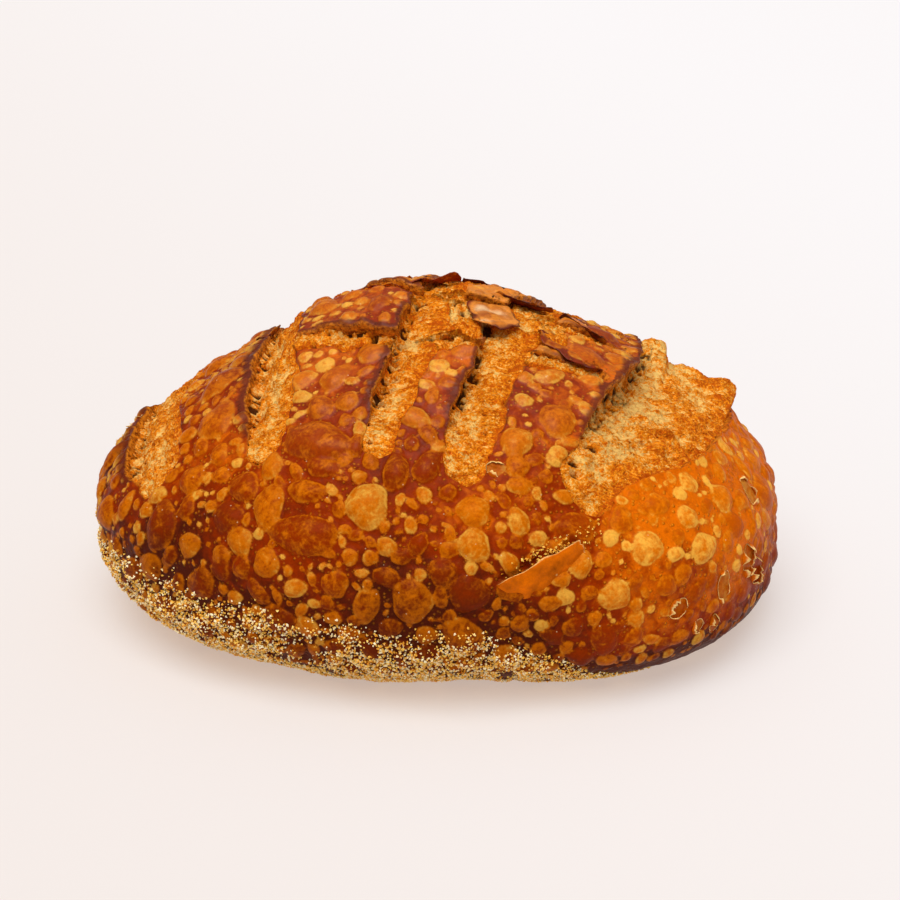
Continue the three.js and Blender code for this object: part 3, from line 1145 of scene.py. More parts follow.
class Graph(NodeTree):
    """The nodes of one material."""

    def __init__(self, name: str) -> None:
        """Makes an empty material.

        Args:
            name: the material's name.
        """
        self.material = bpy.data.materials.new(name)
        self.material.use_nodes = True
        super().__init__(self.material.node_tree, "Object")

    def reading(self, name: str) -> Wire:
        """A value that the mesh carries at its corners."""
        return self.node("ShaderNodeAttribute", {"attribute_name": name}, {}, "Fac")

    def noise(
        self, size: float, detail: float = 3.0, rough: float = 0.55, swirl: float = 0.0,
        place: Union[Wire, None] = None,
    ) -> Wire:
        """Noise from about 0 to 1.

        Args:
            size: the width of its swells in millimetres.
            detail: how many finer layers it has.
            rough: how strong each finer layer is.
            swirl: how much it is stirred.
            place: where it is read, if not at the surface's own place.

        Returns:
            The noise's value.
        """
        inputs = {"Vector": place or self.place, "Scale": 1 / (size * MM)}
        inputs |= {"Detail": detail, "Roughness": rough, "Distortion": swirl}
        return self.node("ShaderNodeTexNoise", {}, inputs)

    def cells(self, size: float, output: str = "Distance", feature: str = "F1") -> Wire:
        """A scatter of cells a size apart in millimetres, read as a share of that size."""
        inputs = {"Vector": self.place, "Scale": 1 / (size * MM)}
        return self.node("ShaderNodeTexVoronoi", {"feature": feature}, inputs, output)

    def blend(self, a: Union[Wire, Colour], b: Union[Wire, Colour], share: Value) -> Wire:
        """The colour `share` of the way from `a` to `b`. Sockets 6 and 7 of a Mix node hold its colours."""
        return self.node("ShaderNodeMix", {"data_type": "RGBA"}, {0: share, 6: a, 7: b}, 2)

    def scale(self, colour: Wire, factor: Wire) -> Wire:
        """A colour made darker or lighter by a factor."""
        inputs = {"Vector": colour, "Scale": factor}
        return self.node("ShaderNodeVectorMath", {"operation": "SCALE"}, inputs)

    def bump(
        self, height: Wire, depth: float, under: Union[Wire, None] = None, strength: float = 1.0
    ) -> Wire:
        """A normal bent by a height.

        Args:
            height: the height from 0 to 1.
            depth: what a height of 1 is in millimetres.
            under: the normal that is bent, if not the surface's own.
            strength: how much of the bend is used.

        Returns:
            The bent normal.
        """
        inputs: dict[str, Any] = {"Height": height, "Distance": depth * MM, "Strength": strength}
        if under is not None:
            inputs["Normal"] = under
        return self.node("ShaderNodeBump", {}, inputs)

    def surface(self, **sockets: Any) -> bpy.types.Material:
        """Ends the graph in one surface shader.

        Args:
            sockets: its sockets' values or wires, with underscores for spaces.

        Returns:
            The finished material.
        """
        named = {name.replace("_", " "): value for name, value in sockets.items()}
        self.end("ShaderNodeOutputMaterial", self.node("ShaderNodeBsdfPrincipled", {}, named))
        return self.material


@dataclass(frozen=True)
class CrustFinish:
    """Baked crust: glossy mahogany and caramel, amber and cream blisters, dark ears."""

    light_ground: Colour = srgb(220, 104, 2)
    mid_ground: Colour = srgb(142, 42, 0)
    dark_ground: Colour = srgb(74, 23, 8)
    brown_blister: Colour = srgb(146, 48, 0)
    amber_blister: Colour = srgb(210, 108, 3)
    pale_blister: Colour = srgb(240, 176, 66)
    speck: Colour = srgb(230, 138, 24)
    ear_edge: Colour = srgb(100, 38, 18)
    torn_wall: Colour = srgb(226, 132, 28)
    # Painted shade: the dark that mottles the torn walls in the strokes.
    wall_shade: Colour = srgb(128, 56, 6)
    tan: Colour = srgb(226, 136, 48)
    flour: Colour = srgb(240, 214, 168)
    gloss: float = 0.035
    gloss_tint: Colour = (1.0, 0.72, 0.55, 1.0)
    sheen: float = 0.3
    sheen_height: tuple[float, float] = (0.075, 0.11)
    sheen_rough: float = 0.4
    grain_size: float = 1.1
    mottle_size: float = 4.2
    patch_size: float = 16.0
    speck_size: float = 1.7
    dust_size: float = 4.6

    def material(self) -> bpy.types.Material:
        """Makes the crust's material.

        Returns:
            The material.
        """
        g = Graph("baked_crust")
        inside, crown, tone = g.reading("blister"), g.reading("crown"), g.reading("tone")
        # The darkness reading is partly bake and partly painted shading: shade low on the front flank, a
        # sheen on the crest.
        bake, ear, wall = g.reading("bake"), g.reading("ear"), g.reading("wall")
        burst, tan = g.reading("burst"), g.reading("tan")
        fine, mottle = g.noise(self.grain_size, 4, 0.6), g.noise(self.mottle_size, 3, 0.5, 0.6)
        broad = g.noise(self.patch_size, 3)
        within = (inside + 0.4 * (fine - 0.5)).ease(-0.2, 0.5)
        depth = (bake + 0.06 + 0.8 * (mottle - 0.5) + 0.6 * (broad - 0.5)).clip()
        ground = g.blend(self.light_ground, self.mid_ground, depth.ease(0.0, 0.5))
        ground = g.blend(ground, self.dark_ground, depth.ease(0.4, 1.0))
        dark_ear = (ear + 0.6 * (mottle - 0.5) + 0.4 * (fine - 0.5)).ease(0.3, 0.7)
        ground = g.blend(ground, self.ear_edge, dark_ear * 0.85)
        lucky = g.node("ShaderNodeSeparateColor", {}, {0: g.cells(self.speck_size, "Color")})
        raised = (1 - g.cells(self.speck_size)).ease(0.55, 0.9) * lucky.ease(0.2, 0.8) * (1 - within)
        ground = g.blend(ground, self.speck, raised * (0.65 - 0.45 * bake) * (1 - dark_ear))
        rim = inside.ease(0.0, 0.5) * (1 - inside.ease(0.5, 1.7))
        shade = (tone + 1.25 * (mottle - 0.5) + 0.7 * (fine - 0.5) + 0.15 * rim).clip()
        skin = g.blend(self.brown_blister, self.amber_blister, shade.ease(0.0, 0.55))
        skin = g.blend(skin, self.pale_blister, shade.ease(0.52, 1.18))
        # Painted highlight: each blister's skin is made lighter towards its crown.
        skin = g.scale(skin, (1.07 - 0.45 * bake) * (0.9 + 0.14 * crown))
        colour = g.blend(ground, skin, within * (0.5 + 0.5 * shade.ease(0.0, 0.6)) * (1 - 0.9 * dark_ear))
        colour = g.blend(colour, self.mid_ground, burst * 0.5)
        dry = tan + 0.9 * (mottle - 0.5)
        colour = g.blend(colour, self.tan, dry.ease(0.3, 0.9) * (1 - 0.5 * within))
        colour = g.blend(colour, self.flour, dry.ease(1.0, 1.9) * 0.6)
        # Painted shade: patches of the torn wall are darkened.
        torn = g.blend(self.wall_shade, self.torn_wall, g.noise(1.6, 5, 0.7).ease(0.35, 0.6))
        colour = g.blend(colour, torn, wall)
        dust = (1 - g.cells(self.dust_size)).ease(0.93, 0.955)
        colour = g.blend(colour, self.flour, dust * 0.35)
        colour = g.scale(colour, 0.75 + 0.5 * g.noise(0.9, 2))
        normal = g.bump(raised, 0.5)
        normal = g.bump(fine, 0.2, normal, 0.4)
        normal = g.bump(fine * wall, 1.0, normal)
        rough = 0.38 + 0.25 * (mottle - 0.5) + 0.3 * wall
        sheen = g.axis("Z").ease(*self.sheen_height) * self.sheen
        return g.surface(
            Base_Color=colour, Roughness=rough, Normal=normal, Specular_IOR_Level=self.gloss,
            Specular_Tint=self.gloss_tint, Coat_Weight=sheen, Coat_Roughness=self.sheen_rough,
        )


@dataclass(frozen=True)
class CrumbFinish:
    """Torn crumb: cream hollows, golden faces and toasted ridges, with painted shade in its holes, between
    its strands and in its cells.
    """

    cream: Colour = srgb(255, 206, 114)
    golden: Colour = srgb(252, 148, 14)
    toasted: Colour = srgb(208, 90, 0)
    # Painted shade between the strands.
    gap_shade: Colour = srgb(170, 80, 8)
    # Painted shade in the holes.
    hole_shade: Colour = srgb(70, 32, 8)
    cell_sizes: tuple[float, float] = (1.5, 3.4)

    def material(self) -> bpy.types.Material:
        """Makes the crumb's material.

        Returns:
            The material.
        """
        g = Graph("torn_crumb")
        toast, pore_shade, height = g.reading("toast"), g.reading("pore_shade"), g.reading("height")
        strand = g.node("ShaderNodeAttribute", {"attribute_name": "strand"}, {}, "Vector")
        fibre = g.noise(0.9, 4, 0.65, 0.8, strand)
        fine, mottle = g.noise(0.8, 5, 0.7), g.noise(3.2, 5, 0.65)
        small, large = (g.cells(size, "Distance", "DISTANCE_TO_EDGE") for size in self.cell_sizes)
        small_cell, large_cell = small.ease(0.03, 0.3), large.ease(0.02, 0.22)
        hollow = (small_cell * mottle.ease(0.3, 0.6) * 0.7).most(large_cell * mottle.ease(0.5, 0.7))
        level = toast + 1.8 * (mottle - 0.5) + 1.8 * (fine - 0.5) + 2.0 * (fibre - 0.5) + 0.35 * height
        level = level.clip()
        colour = g.blend(self.cream, self.golden, level.ease(0.0, 0.45))
        colour = g.blend(colour, self.toasted, level.ease(0.45, 1.0))
        # Painted shade: the cells' hollows are darkened towards the toasted colour.
        colour = g.blend(colour, self.toasted, hollow * 0.35)
        # Painted shade: the gaps between the strands are darkened.
        gap = (0.46 - fibre).ease(0.0, 0.16) * (1 - toast).ease(0.3, 0.8)
        colour = g.blend(colour, self.gap_shade, gap * 0.6)
        # Painted shade: the holes and the lace under the ears are darkened almost to black-brown.
        colour = g.blend(colour, self.hole_shade, (pore_shade + 0.2 * hollow).ease(0.3, 0.9) * 0.95)
        normal = g.bump(1 - hollow, 0.5)
        normal = g.bump(fibre, 0.8, normal)
        normal = g.bump(fine, 0.5, normal)
        return g.surface(Base_Color=colour, Roughness=0.8, Normal=normal, Specular_IOR_Level=0.1)


@dataclass(frozen=True)
class MealFinish:
    """Coarse cornmeal: white, yellow and golden grits."""

    white: Colour = srgb(255, 240, 194)
    yellow: Colour = srgb(255, 210, 92)
    golden: Colour = srgb(232, 156, 30)

    def material(self) -> bpy.types.Material:
        """Makes the cornmeal's material.

        Returns:
            The material.
        """
        g = Graph("cornmeal")
        tint = g.reading("tint")
        colour = g.blend(self.white, self.yellow, tint.ease(0.2, 0.5))
        colour = g.blend(colour, self.golden, tint.ease(0.5, 0.9))
        colour = g.scale(colour, 0.85 + 0.3 * g.noise(0.5, 2))
        return g.surface(Base_Color=colour, Roughness=0.6, Specular_IOR_Level=0.4)


@dataclass(frozen=True)
class FloorFinish:
    """A plain pale floor that glows a little, like a light table: painted light that lightens and warms the
    loaf's shadow on it.
    """

    # Painted light: a bluish base colour under a warm glow, so the loaf's shadow on the floor stays light
    # and warm.
    colour: Colour = (0.36, 0.4, 0.43, 1.0)
    near_glow: Colour = (0.5, 0.375, 0.3, 1.0)
    far_glow: Colour = (0.56, 0.485, 0.455, 1.0)

    def material(self) -> bpy.types.Material:
        """Makes the floor's material: its painted glow pales from the front left to the back right.

        Returns:
            The material.
        """
        g = Graph("pale_floor")
        away = (g.axis("X") * 1.1 + g.axis("Y") * 0.6).ease(-0.5, 0.7)
        glow = g.blend(self.near_glow, self.far_glow, away)
        return g.surface(
            Base_Color=self.colour, Roughness=0.7, Specular_IOR_Level=0.1, Emission_Color=glow,
            Emission_Strength=1.0,
        )


def in_frame(points: Array) -> Array:
    """Points of the shape work, in the frame's metres."""
    return (points + np.array([*FRAME_SHIFT, 0])) * MM


def piece_from(name: str, points: Array, triangles: Array, readings: dict[str, Array]) -> bpy.types.Object:
    """A mesh piece in the frame.

    Args:
        name: the piece's name.
        points: its corners in millimetres.
        triangles: three corner numbers a row.
        readings: values at the corners for its material to read.

    Returns:
        The piece, linked to the scene.
    """
    mesh = bpy.data.meshes.new(name)
    mesh.vertices.add(len(points))
    mesh.vertices.foreach_set("co", in_frame(points).astype(np.float32).ravel())
    mesh.loops.add(triangles.size)
    mesh.loops.foreach_set("vertex_index", triangles.astype(np.int32).ravel())
    mesh.polygons.add(len(triangles))
    mesh.polygons.foreach_set("loop_start", np.arange(0, triangles.size, 3, dtype=np.int32))
    mesh.update()
    mesh.validate()
    for key, values in readings.items():
        kind, part = ("FLOAT", "value") if values.ndim == 1 else ("FLOAT_VECTOR", "vector")
        layer = mesh.attributes.new(key, kind, "POINT")
        layer.data.foreach_set(part, values.astype(np.float32).ravel())
    piece = bpy.data.objects.new(name, mesh)
    bpy.context.collection.objects.link(piece)
    return piece


Part = tuple[Array, Array, dict[str, Array]]


def joined(parts: list[Part]) -> Part:
    """Several meshes as one.

    Args:
        parts: the points, triangles and readings of each.

    Returns:
        The points, triangles and readings of all.
    """
    starts = np.cumsum([0] + [len(points) for points, _, _ in parts[:-1]])
    points = np.concatenate([p for p, _, _ in parts])
    triangles = np.concatenate([t + start for (_, t, _), start in zip(parts, starts)])
    readings = {key: np.concatenate([r[key] for _, _, r in parts]) for key in parts[0][2]}
    return points, triangles, readings


def dress(piece: bpy.types.Object, material: bpy.types.Material, rounded: bool = True) -> None:
    """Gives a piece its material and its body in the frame.

    Args:
        piece: the piece.
        material: its material.
        rounded: whether its faces are shaded as one smooth surface.
    """
    piece.data.materials.append(material)
    piece.data.polygons.foreach_set("use_smooth", np.full(len(piece.data.polygons), rounded))
    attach(piece, "root")


def dome_map(piece: bpy.types.Object, directions: Array, foot: Array) -> None:
    """Lays out the map for the piece's finish: the dome as a disc, the foot in a corner.

    Args:
        piece: the piece, whose corners are in the order of `directions`.
        directions: the corners' directions from the middle of the waist.
        foot: whether each corner lies on the flat foot.
    """
    polar = np.sqrt((1 - directions[:, 2]) / 2)
    around = unit(directions[:, :2] + 1e-9)
    disc = 0.5 + 0.495 * polar[:, None] * around
    corner = 0.085 + 0.08 * directions[:, :2] / np.abs(directions[foot][:, :2]).max()
    mesh = piece.data
    loops = np.empty(len(mesh.loops), dtype=np.int32)
    mesh.loops.foreach_get("vertex_index", loops)
    faces = loops.reshape(-1, 3)
    flat = np.repeat(foot[faces].all(1), 3)
    layer = mesh.uv_layers.new(name=BAKE_MAP)
    places = np.where(flat[:, None], corner[loops], disc[loops])
    layer.data.foreach_set("uv", places.astype(np.float32).ravel())


@dataclass
class Crust:
    """The skin of the loaf: blistered, lifted in ears beside the strokes, flat underneath.

    Attributes:
        body: the smooth body.
        scoring: the strokes.
        blisters: the blisters.
        flap: the burst flap on the front.
    """

    body: LoafBody
    scoring: Scoring
    blisters: Blisters
    flap: BurstFlap
    plain_edge: tuple[float, float] = (1.2, 1.75)
    lip_edge: float = 0.62
    lip_band: float = 1.7
    hidden_edge: float = 3.0
    foot_edge: float = 6.0
    lip_run: float = 1.6
    thickness: float = 0.45
    hidden_depth: float = 3.2
    tuck: float = 2.4
    relief: tuple[tuple[float, float], ...] = ((7.0, 0.5), (2.8, 0.22))
    ear_scorch: tuple[float, float] = (2.6, 1.3)
    plain_scorch: float = 0.5
    plain_breadth: float = 1.1
    patch_size: float = 38.0
    patch_depth: float = 0.22
    finish: CrustFinish = CrustFinish()
    seed: int = 5
    skin: SkinMesh = field(init=False)
    points: Array = field(init=False)

    def edge_limit(self, points: Array) -> Array:
        """The longest edge wanted.

        Args:
            points: places on the body, one a row.

        Returns:
            The length in millimetres, one value for each point.
        """
        distance = self.scoring.distance(points)
        plain = mix(*self.plain_edge, smooth(points[:, 1], 20, 50))
        limit = np.where(np.abs(distance) < self.lip_band, self.lip_edge, plain)
        limit = np.where(distance < -self.lip_band, self.hidden_edge, limit)
        return np.where(points[:, 2] < -1, self.foot_edge, limit)

    def bake(self, points: Array, score: ScoreField) -> Array:
        """How dark the crust is, partly from its bake and partly as painted shading: darkest low on the
        left, lightest on the right.

        Args:
            points: places on the body, one a row.
            score: the scoring there.

        Returns:
            Values from 0 to 1.1, one for each point.
        """
        x, _, z = points.T
        left = smooth(-x, -70, 100)
        right = smooth(x, 30, 85) * smooth(z, 14, 30)
        low = smooth(-z, -78, -26) * (1 - 0.45 * smooth(x, 40, 80))
        foot = smooth(-z, -26, -12)
        high = smooth(z, 96, 116)
        swells = self.patch_depth * Grain(self.seed + 1).at(points, self.patch_size)
        # Painted shade darkens the low front flank (low) and a painted sheen lightens the crest (high); the
        # foot is darker and the right flank lighter.
        hue = 0.46 - 0.03 * left - 0.54 * right + 0.58 * low + 0.3 * foot - 0.32 * high
        return np.clip(hue + swells + 0.03 * score.lift, 0, 1.1)

    def scorch(self, points: Array, score: ScoreField) -> Array:
        """How much the strokes' edges are scorched: broadly on the ears, finely elsewhere.

        Args:
            points: places on the body, one a row.
            score: the scoring there.

        Returns:
            Values from 0 to 1, one for each point.
        """
        beyond = np.maximum(score.distance, 0)
        breadth = mix(*self.ear_scorch, smooth(points[:, 2], 100, 112))
        fine = self.plain_scorch * np.exp(-beyond / self.plain_breadth)
        return np.where(score.ear > 0, np.exp(-beyond / breadth), fine) * score.opening**0.4

    @staticmethod
    def tan(points: Array) -> Array:
        """How much the crust is dry and tan, from 0 to 1: on the right half of the crest."""
        x, y, z = points.T
        return smooth(z, 100, 113) * smooth(x, -12, 12) * smooth(y, -31, -24)

    def build(self) -> bpy.types.Object:
        """Makes the skin and dresses it.

        Returns:
            The piece.
        """
        self.skin = SkinMesh(self.body, self.edge_limit)
        self.skin.snap(self.scoring.distance, 0.5 * self.lip_edge)
        base = self.body.point(self.skin.directions)
        normal = self.body.normal(base)
        self.blisters.scatter(base[self.scoring.distance(base) > 0])
        score = self.scoring.read(base)
        blister = self.blisters.read(base, normal)
        height, lean = self._offset(base, score, blister)
        points = base + normal * height[:, None] + lean
        points[:, 2] = np.maximum(points[:, 2], 0)
        self.points = points
        readings = {
            "blister": blister.inside,
            "crown": blister.crown,
            "tone": blister.tone,
            "burst": blister.burst,
            "bake": self.bake(base, score),
            "tan": self.tan(base),
            "ear": self.scorch(base, score),
            "wall": smooth(-score.distance, 0.2, 0.7),
        }
        piece = piece_from("crust", points, self.skin.triangles, readings)
        dress(piece, self.finish.material())
        dome_map(piece, self.skin.directions, points[:, 2] <= 0)
        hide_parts("loaf")
        return piece

    def _offset(self, base: Array, score: ScoreField, blister: BlisterField) -> tuple[Array, Array]:
        """How far the skin stands off the smooth body.

        Args:
            base: points of the smooth body.
            score: the scoring there.
            blister: the blisters there.

        Returns:
            The distance along the normal, and the lean of the ears as vectors.
        """
        grain = Grain(self.seed)
        rough = sum(height * grain.at(base, size) for size, height in self.relief)
        surface = score.lift + rough + blister.height + self.flap.read(base)
        run = np.clip(-score.distance / self.lip_run, 0, 1)
        under_ear = surface - self.thickness * smooth(run, 0, 0.45)
        hidden = np.minimum(score.floor - self.hidden_depth, -self.hidden_depth)
        ear = score.ear > 0
        drop = np.where(ear, smooth(run, 0.4, 1), smooth(run, 0, 1))
        height = mix(np.where(ear, under_ear, surface), hidden, drop)
        tuck = self.tuck * drop * (1 + 0.7 * grain.at(base + 9, 2.2)) * ear
        lean = score.curl * (1 - drop)[:, None] - unit(score.curl + 1e-9) * tuck[:, None]
        return self.body.lumps(base) + height, lean


@dataclass
class TearField:
    """How the crumb is torn at each of a set of points.

    Attributes:
        thread: places in which the threads run along the first axis, stirred a little.
        wild: how far a point lies in the middle of a wide stroke, from 0 to 1.
        relief: how far the lumps and threads stand up.
        holes: how deep a point lies in a hole, from 0 to 1.
        lace: how deep it lies between the strands under an ear, from 0 to 1.
    """

    thread: Array
    wild: Array
    relief: Array
    holes: Array
    lace: Array


@dataclass
class Crumb:
    """The core of the loaf, which shows as torn crumb in the strokes."""

    body: LoafBody
    scoring: Scoring
    shown_edge: float = 0.56
    hidden_edge: float = 9.0
    shown_band: float = 1.2
    hidden_from: float = 6.0
    deepest: float = -9.0
    foot_height: float = 3.0
    under_slope: float = 1.3
    ear_gap: float = 0.7
    climb_reach: float = 0.5
    stir: float = 2.6
    stir_size: float = 9.0
    hole_depth: float = 3.0
    lace_depth: float = 2.6
    finish: CrumbFinish = CrumbFinish()
    seed: int = 31

    def edge_limit(self, points: Array) -> Array:
        """The longest edge wanted at points of the body."""
        return np.where(self.scoring.distance(points) < self.shown_band, self.shown_edge, self.hidden_edge)

    def tear(self, base: Array, score: ScoreField) -> TearField:
        """How the crumb is torn.

        Args:
            base: points of the smooth body.
            score: the scoring there.

        Returns:
            The field of the tear at those points.
        """
        grain = Grain(self.seed)
        stirred = np.stack([grain.at(base + k, self.stir_size) for k in (0, 40, 80)], 1)
        thread = score.thread + self.stir * stirred
        ridge, strand = grain.ridges(thread, 3.0), grain.ridges(thread + 37, 1.6)
        wild = smooth(-score.distance, 4, 11)
        relief = wild * (2.0 * grain.at(base, 11) + 1.4 * grain.at(base + 7, 5))
        relief = relief + 0.6 * grain.at(thread, 5.5) + 0.8 * (ridge - 0.5) + 0.5 * (strand - 0.5)
        relief = (relief + 0.4 * grain.at(base, 1.3)) * smooth(-score.distance, -0.5, 3)
        holes = np.maximum(grain.pits(score.thread, 4.8), 0.55 * grain.pits(score.thread + 53, 2.5))
        holed = np.maximum(smooth(-score.across, 0.0, 0.7), smooth(grain.at(base + 13, 9), 0.05, 0.3))
        level = base * np.array([1, 1, 0.6])
        lace = smooth(grain.at(level + 17, 2.6) + 0.3 * grain.at(level, 1.2), 0.0, 0.2)
        lace = lace * smooth(-score.across, 0.5, 0.75) * smooth(-score.distance, -0.2, 0.4) * score.opening
        return TearField(thread, wild, relief, holes * holed, lace)

    def height(self, score: ScoreField, tear: TearField) -> Array:
        """How high the crumb stands against the smooth body.

        Args:
            score: the scoring at a set of points.
            tear: the tear there.

        Returns:
            The height in millimetres, one value for each point.
        """
        ear = score.ear > 0
        beyond = np.maximum(score.distance, 0)
        below_ear = score.lift - self.ear_gap
        climb = score.ear * np.exp(-np.maximum(-score.distance, 0) / self.climb_reach)
        height = mix(score.floor, np.maximum(below_ear, score.floor), climb)
        height = height - np.where(ear, 0, self.under_slope * beyond)
        shown = 1 - smooth(beyond, 0.5, 3)
        height = height + shown * (tear.relief - self.hole_depth * tear.holes - self.lace_depth * tear.lace)
        ceiling = np.where(ear, below_ear - 0.4 - 0.6 * beyond, -0.2 - self.under_slope * beyond)
        height = np.where(score.distance > -0.4, np.minimum(height, ceiling), height)
        return np.where(score.distance > self.hidden_from, self.deepest, np.maximum(height, self.deepest))

    @staticmethod
    def toast(base: Array, score: ScoreField, wild: Array) -> Array:
        """How far the crumb is toasted: most along its edges and on the crest, least beside the ears.

        Args:
            base: places on the body, one a row.
            score: the scoring there.
            wild: how far each lies in the middle of a wide stroke.

        Returns:
            Values from about 0 to 1, one for each point.
        """
        toast = 0.36 + 0.3 * smooth(score.across, -0.2, 1.0) + 0.25 * (1 - smooth(-score.distance, 0, 3))
        toast = toast + 0.12 * smooth(base[:, 2], 100, 114) - 0.12 * wild
        return toast - 0.12 * smooth(-score.across, 0.1, 0.9)

    def build(self) -> bpy.types.Object:
        """Makes the core and dresses it.

        Returns:
            The piece.
        """
        skin = SkinMesh(self.body, self.edge_limit)
        base = self.body.point(skin.directions)
        score = self.scoring.read(base)
        tear = self.tear(base, score)
        off = self.body.lumps(base) + self.height(score, tear)
        points = base + self.body.normal(base) * off[:, None]
        points[:, 2] = np.maximum(points[:, 2], self.foot_height)
        readings = {
            "toast": self.toast(base, score, tear.wild),
            # How deep each point lies in a hole or in the lace, where the finish paints shade.
            "pore_shade": np.maximum(tear.holes, tear.lace),
            "height": np.clip(tear.relief, -1, 1),
            "strand": tear.thread * MM,
        }
        piece = piece_from("crumb", points, skin.triangles, readings)
        dress(piece, self.finish.material())
        dome_map(piece, skin.directions, points[:, 2] <= self.foot_height)
        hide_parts("loaf")
        return piece


@dataclass
class Cornmeal:
    """Coarse cornmeal that sticks to the foot of the loaf."""

    crust: Crust
    count: int = 32500
    radius: tuple[float, float] = (0.34, 0.66)
    sink: float = 0.1
    floor_gap: float = 0.02
    band_top: float = 37.0
    spilt_height: float = 43.0
    finish: MealFinish = MealFinish()
    seed: int = 71

    @staticmethod
    def _spot(aside: Array, above: Array) -> Array:
        """A round spot, from distances as shares of its width and height."""
        return np.exp(-(aside**2) - above**2)

    def density(self, points: Array) -> Array:
        """How thick the meal lies: in a band, high at the left, and a little by the flap.

        Args:
            points: places on the crust, one a row.

        Returns:
            Values from 0 to 1, one for each point.
        """
        x, y, z = points.T
        front = y < 0
        grain = Grain(self.seed)
        top = self.band_top + 5 * grain.at(points, 16) - 32 * smooth(x, 12, 84) + 4 * smooth(-x, 30, 60)
        band = (1 - smooth(z, 0.62 * top, top + 2)) * (0.68 + 0.9 * grain.at(points, 6))
        bare = front * self._spot((x + 42) / 11, (z - 22) / 12)
        under = 0.1 + 0.9 * smooth(z, 1.5, 5.0)
        spilt = 0.55 * front * self._spot((x - 43) / 9, (z - 51 - 0.3 * (x - 10)) / 3.2)
        return np.clip(np.maximum(band * (1 - bare) * under, spilt), 0, 1) * (z > 0.3)

    def build(self) -> bpy.types.Object:
        """Makes the grits as one joined piece.

        Returns:
            The piece.
        """
        rng = np.random.default_rng(self.seed)
        places, normals = self._sites(rng)
        waist = [(math.cos(turn), math.sin(turn), 0) for turn in (0.0, 2.1, 4.2)]
        corner = np.array([*waist, (0, 0, 1), (0, 0, -1)])
        sides = np.array([[0, 1, 3], [1, 2, 3], [2, 0, 3], [1, 0, 4], [2, 1, 4], [0, 2, 4]])
        count = len(places)
        radius = mix(*self.radius, rng.random(count) ** 1.4)
        turns = np.linalg.qr(rng.normal(size=(count, 3, 3)))[0]
        turns[np.linalg.det(turns) < 0, :, 0] *= -1
        each = len(corner)
        shape = corner * rng.uniform(0.7, 1.25, (count, each, 1)) + rng.normal(0, 0.12, (count, each, 3))
        shape = np.einsum("nij,nkj->nki", turns, shape) * radius[:, None, None]
        points = places[:, None] + normals[:, None] * (0.55 * radius - self.sink)[:, None, None] + shape
        points[..., 2] = np.maximum(points[..., 2], self.floor_gap)
        triangles = (sides[None] + each * np.arange(count)[:, None, None]).reshape(-1, 3)
        tint = rng.random(count)
        tint = np.where(places[:, 2] > self.spilt_height, mix(0.5, 1.0, tint), tint)
        piece = piece_from("cornmeal", points.reshape(-1, 3), triangles, {"tint": np.repeat(tint, each)})
        dress(piece, self.finish.material(), rounded=False)
        self._grid_map(piece, count)
        return piece

    def _sites(self, rng: np.random.Generator) -> tuple[Array, Array]:
        """Draws the grits' sites on the crust, by area and density.

        Args:
            rng: the generator of the draws.

        Returns:
            The sites' places and normals.
        """
        triangles = self.crust.skin.triangles
        a, b, c = (self.crust.points[triangles[:, k]] for k in range(3))
        cross = np.cross(b - a, c - a)
        area = np.linalg.norm(cross, axis=1)
        weight = area * self.density((a + b + c) / 3)
        chosen = rng.choice(len(triangles), self.count, p=weight / weight.sum())
        u, v = rng.random((2, self.count))
        u, v = np.where(u + v > 1, 1 - u, u), np.where(u + v > 1, 1 - v, v)
        places = a[chosen] + (b - a)[chosen] * u[:, None] + (c - a)[chosen] * v[:, None]
        return places, cross[chosen] / area[chosen][:, None]

    @staticmethod
    def _grid_map(piece: bpy.types.Object, count: int) -> None:
        """Gives each grit a cell of its own in the map for the finish.

        Args:
            piece: the grits.
            count: how many there are.
        """
        side = math.ceil(math.sqrt(count))
        faces = len(piece.data.polygons)
        grit = np.repeat(np.arange(count), 3 * faces // count)
        inner = np.tile(np.array([[0.25, 0.25], [0.75, 0.25], [0.5, 0.75]]), (faces, 1))
        cell = np.stack([grit % side, grit // side], 1)
        layer = piece.data.uv_layers.new(name=BAKE_MAP)
        layer.data.foreach_set("uv", ((cell + inner) / side).astype(np.float32).ravel())


@dataclass(frozen=True)
class SkinFinish:
    """Thin torn skin: amber, and cream along its torn edge."""

    amber: Colour = srgb(210, 100, 3)
    cream: Colour = srgb(250, 206, 128)
    gloss_tint: Colour = (1.0, 0.55, 0.25, 1.0)

    def material(self) -> bpy.types.Material:
        """Makes the skin's material.

        Returns:
            The material.
        """
        g = Graph("torn_skin")
        edge = g.reading("edge")
        fine, mottle = g.noise(1.2, 4), g.noise(5.0, 4, 0.6)
        speck = (1 - g.cells(4.4)).ease(0.88, 0.93)
        pale = (edge + 0.5 * (mottle - 0.5) + 0.3 * (fine - 0.5)).ease(0.4, 0.9)
        colour = g.blend(self.amber, self.cream, (pale + 0.5 * speck).clip())
        colour = g.scale(colour, 0.1 + 1.6 * mottle)
        return g.surface(
            Base_Color=colour, Roughness=0.45, Normal=g.bump(fine, 0.3), Specular_IOR_Level=0.06,
            Specular_Tint=self.gloss_tint,
        )


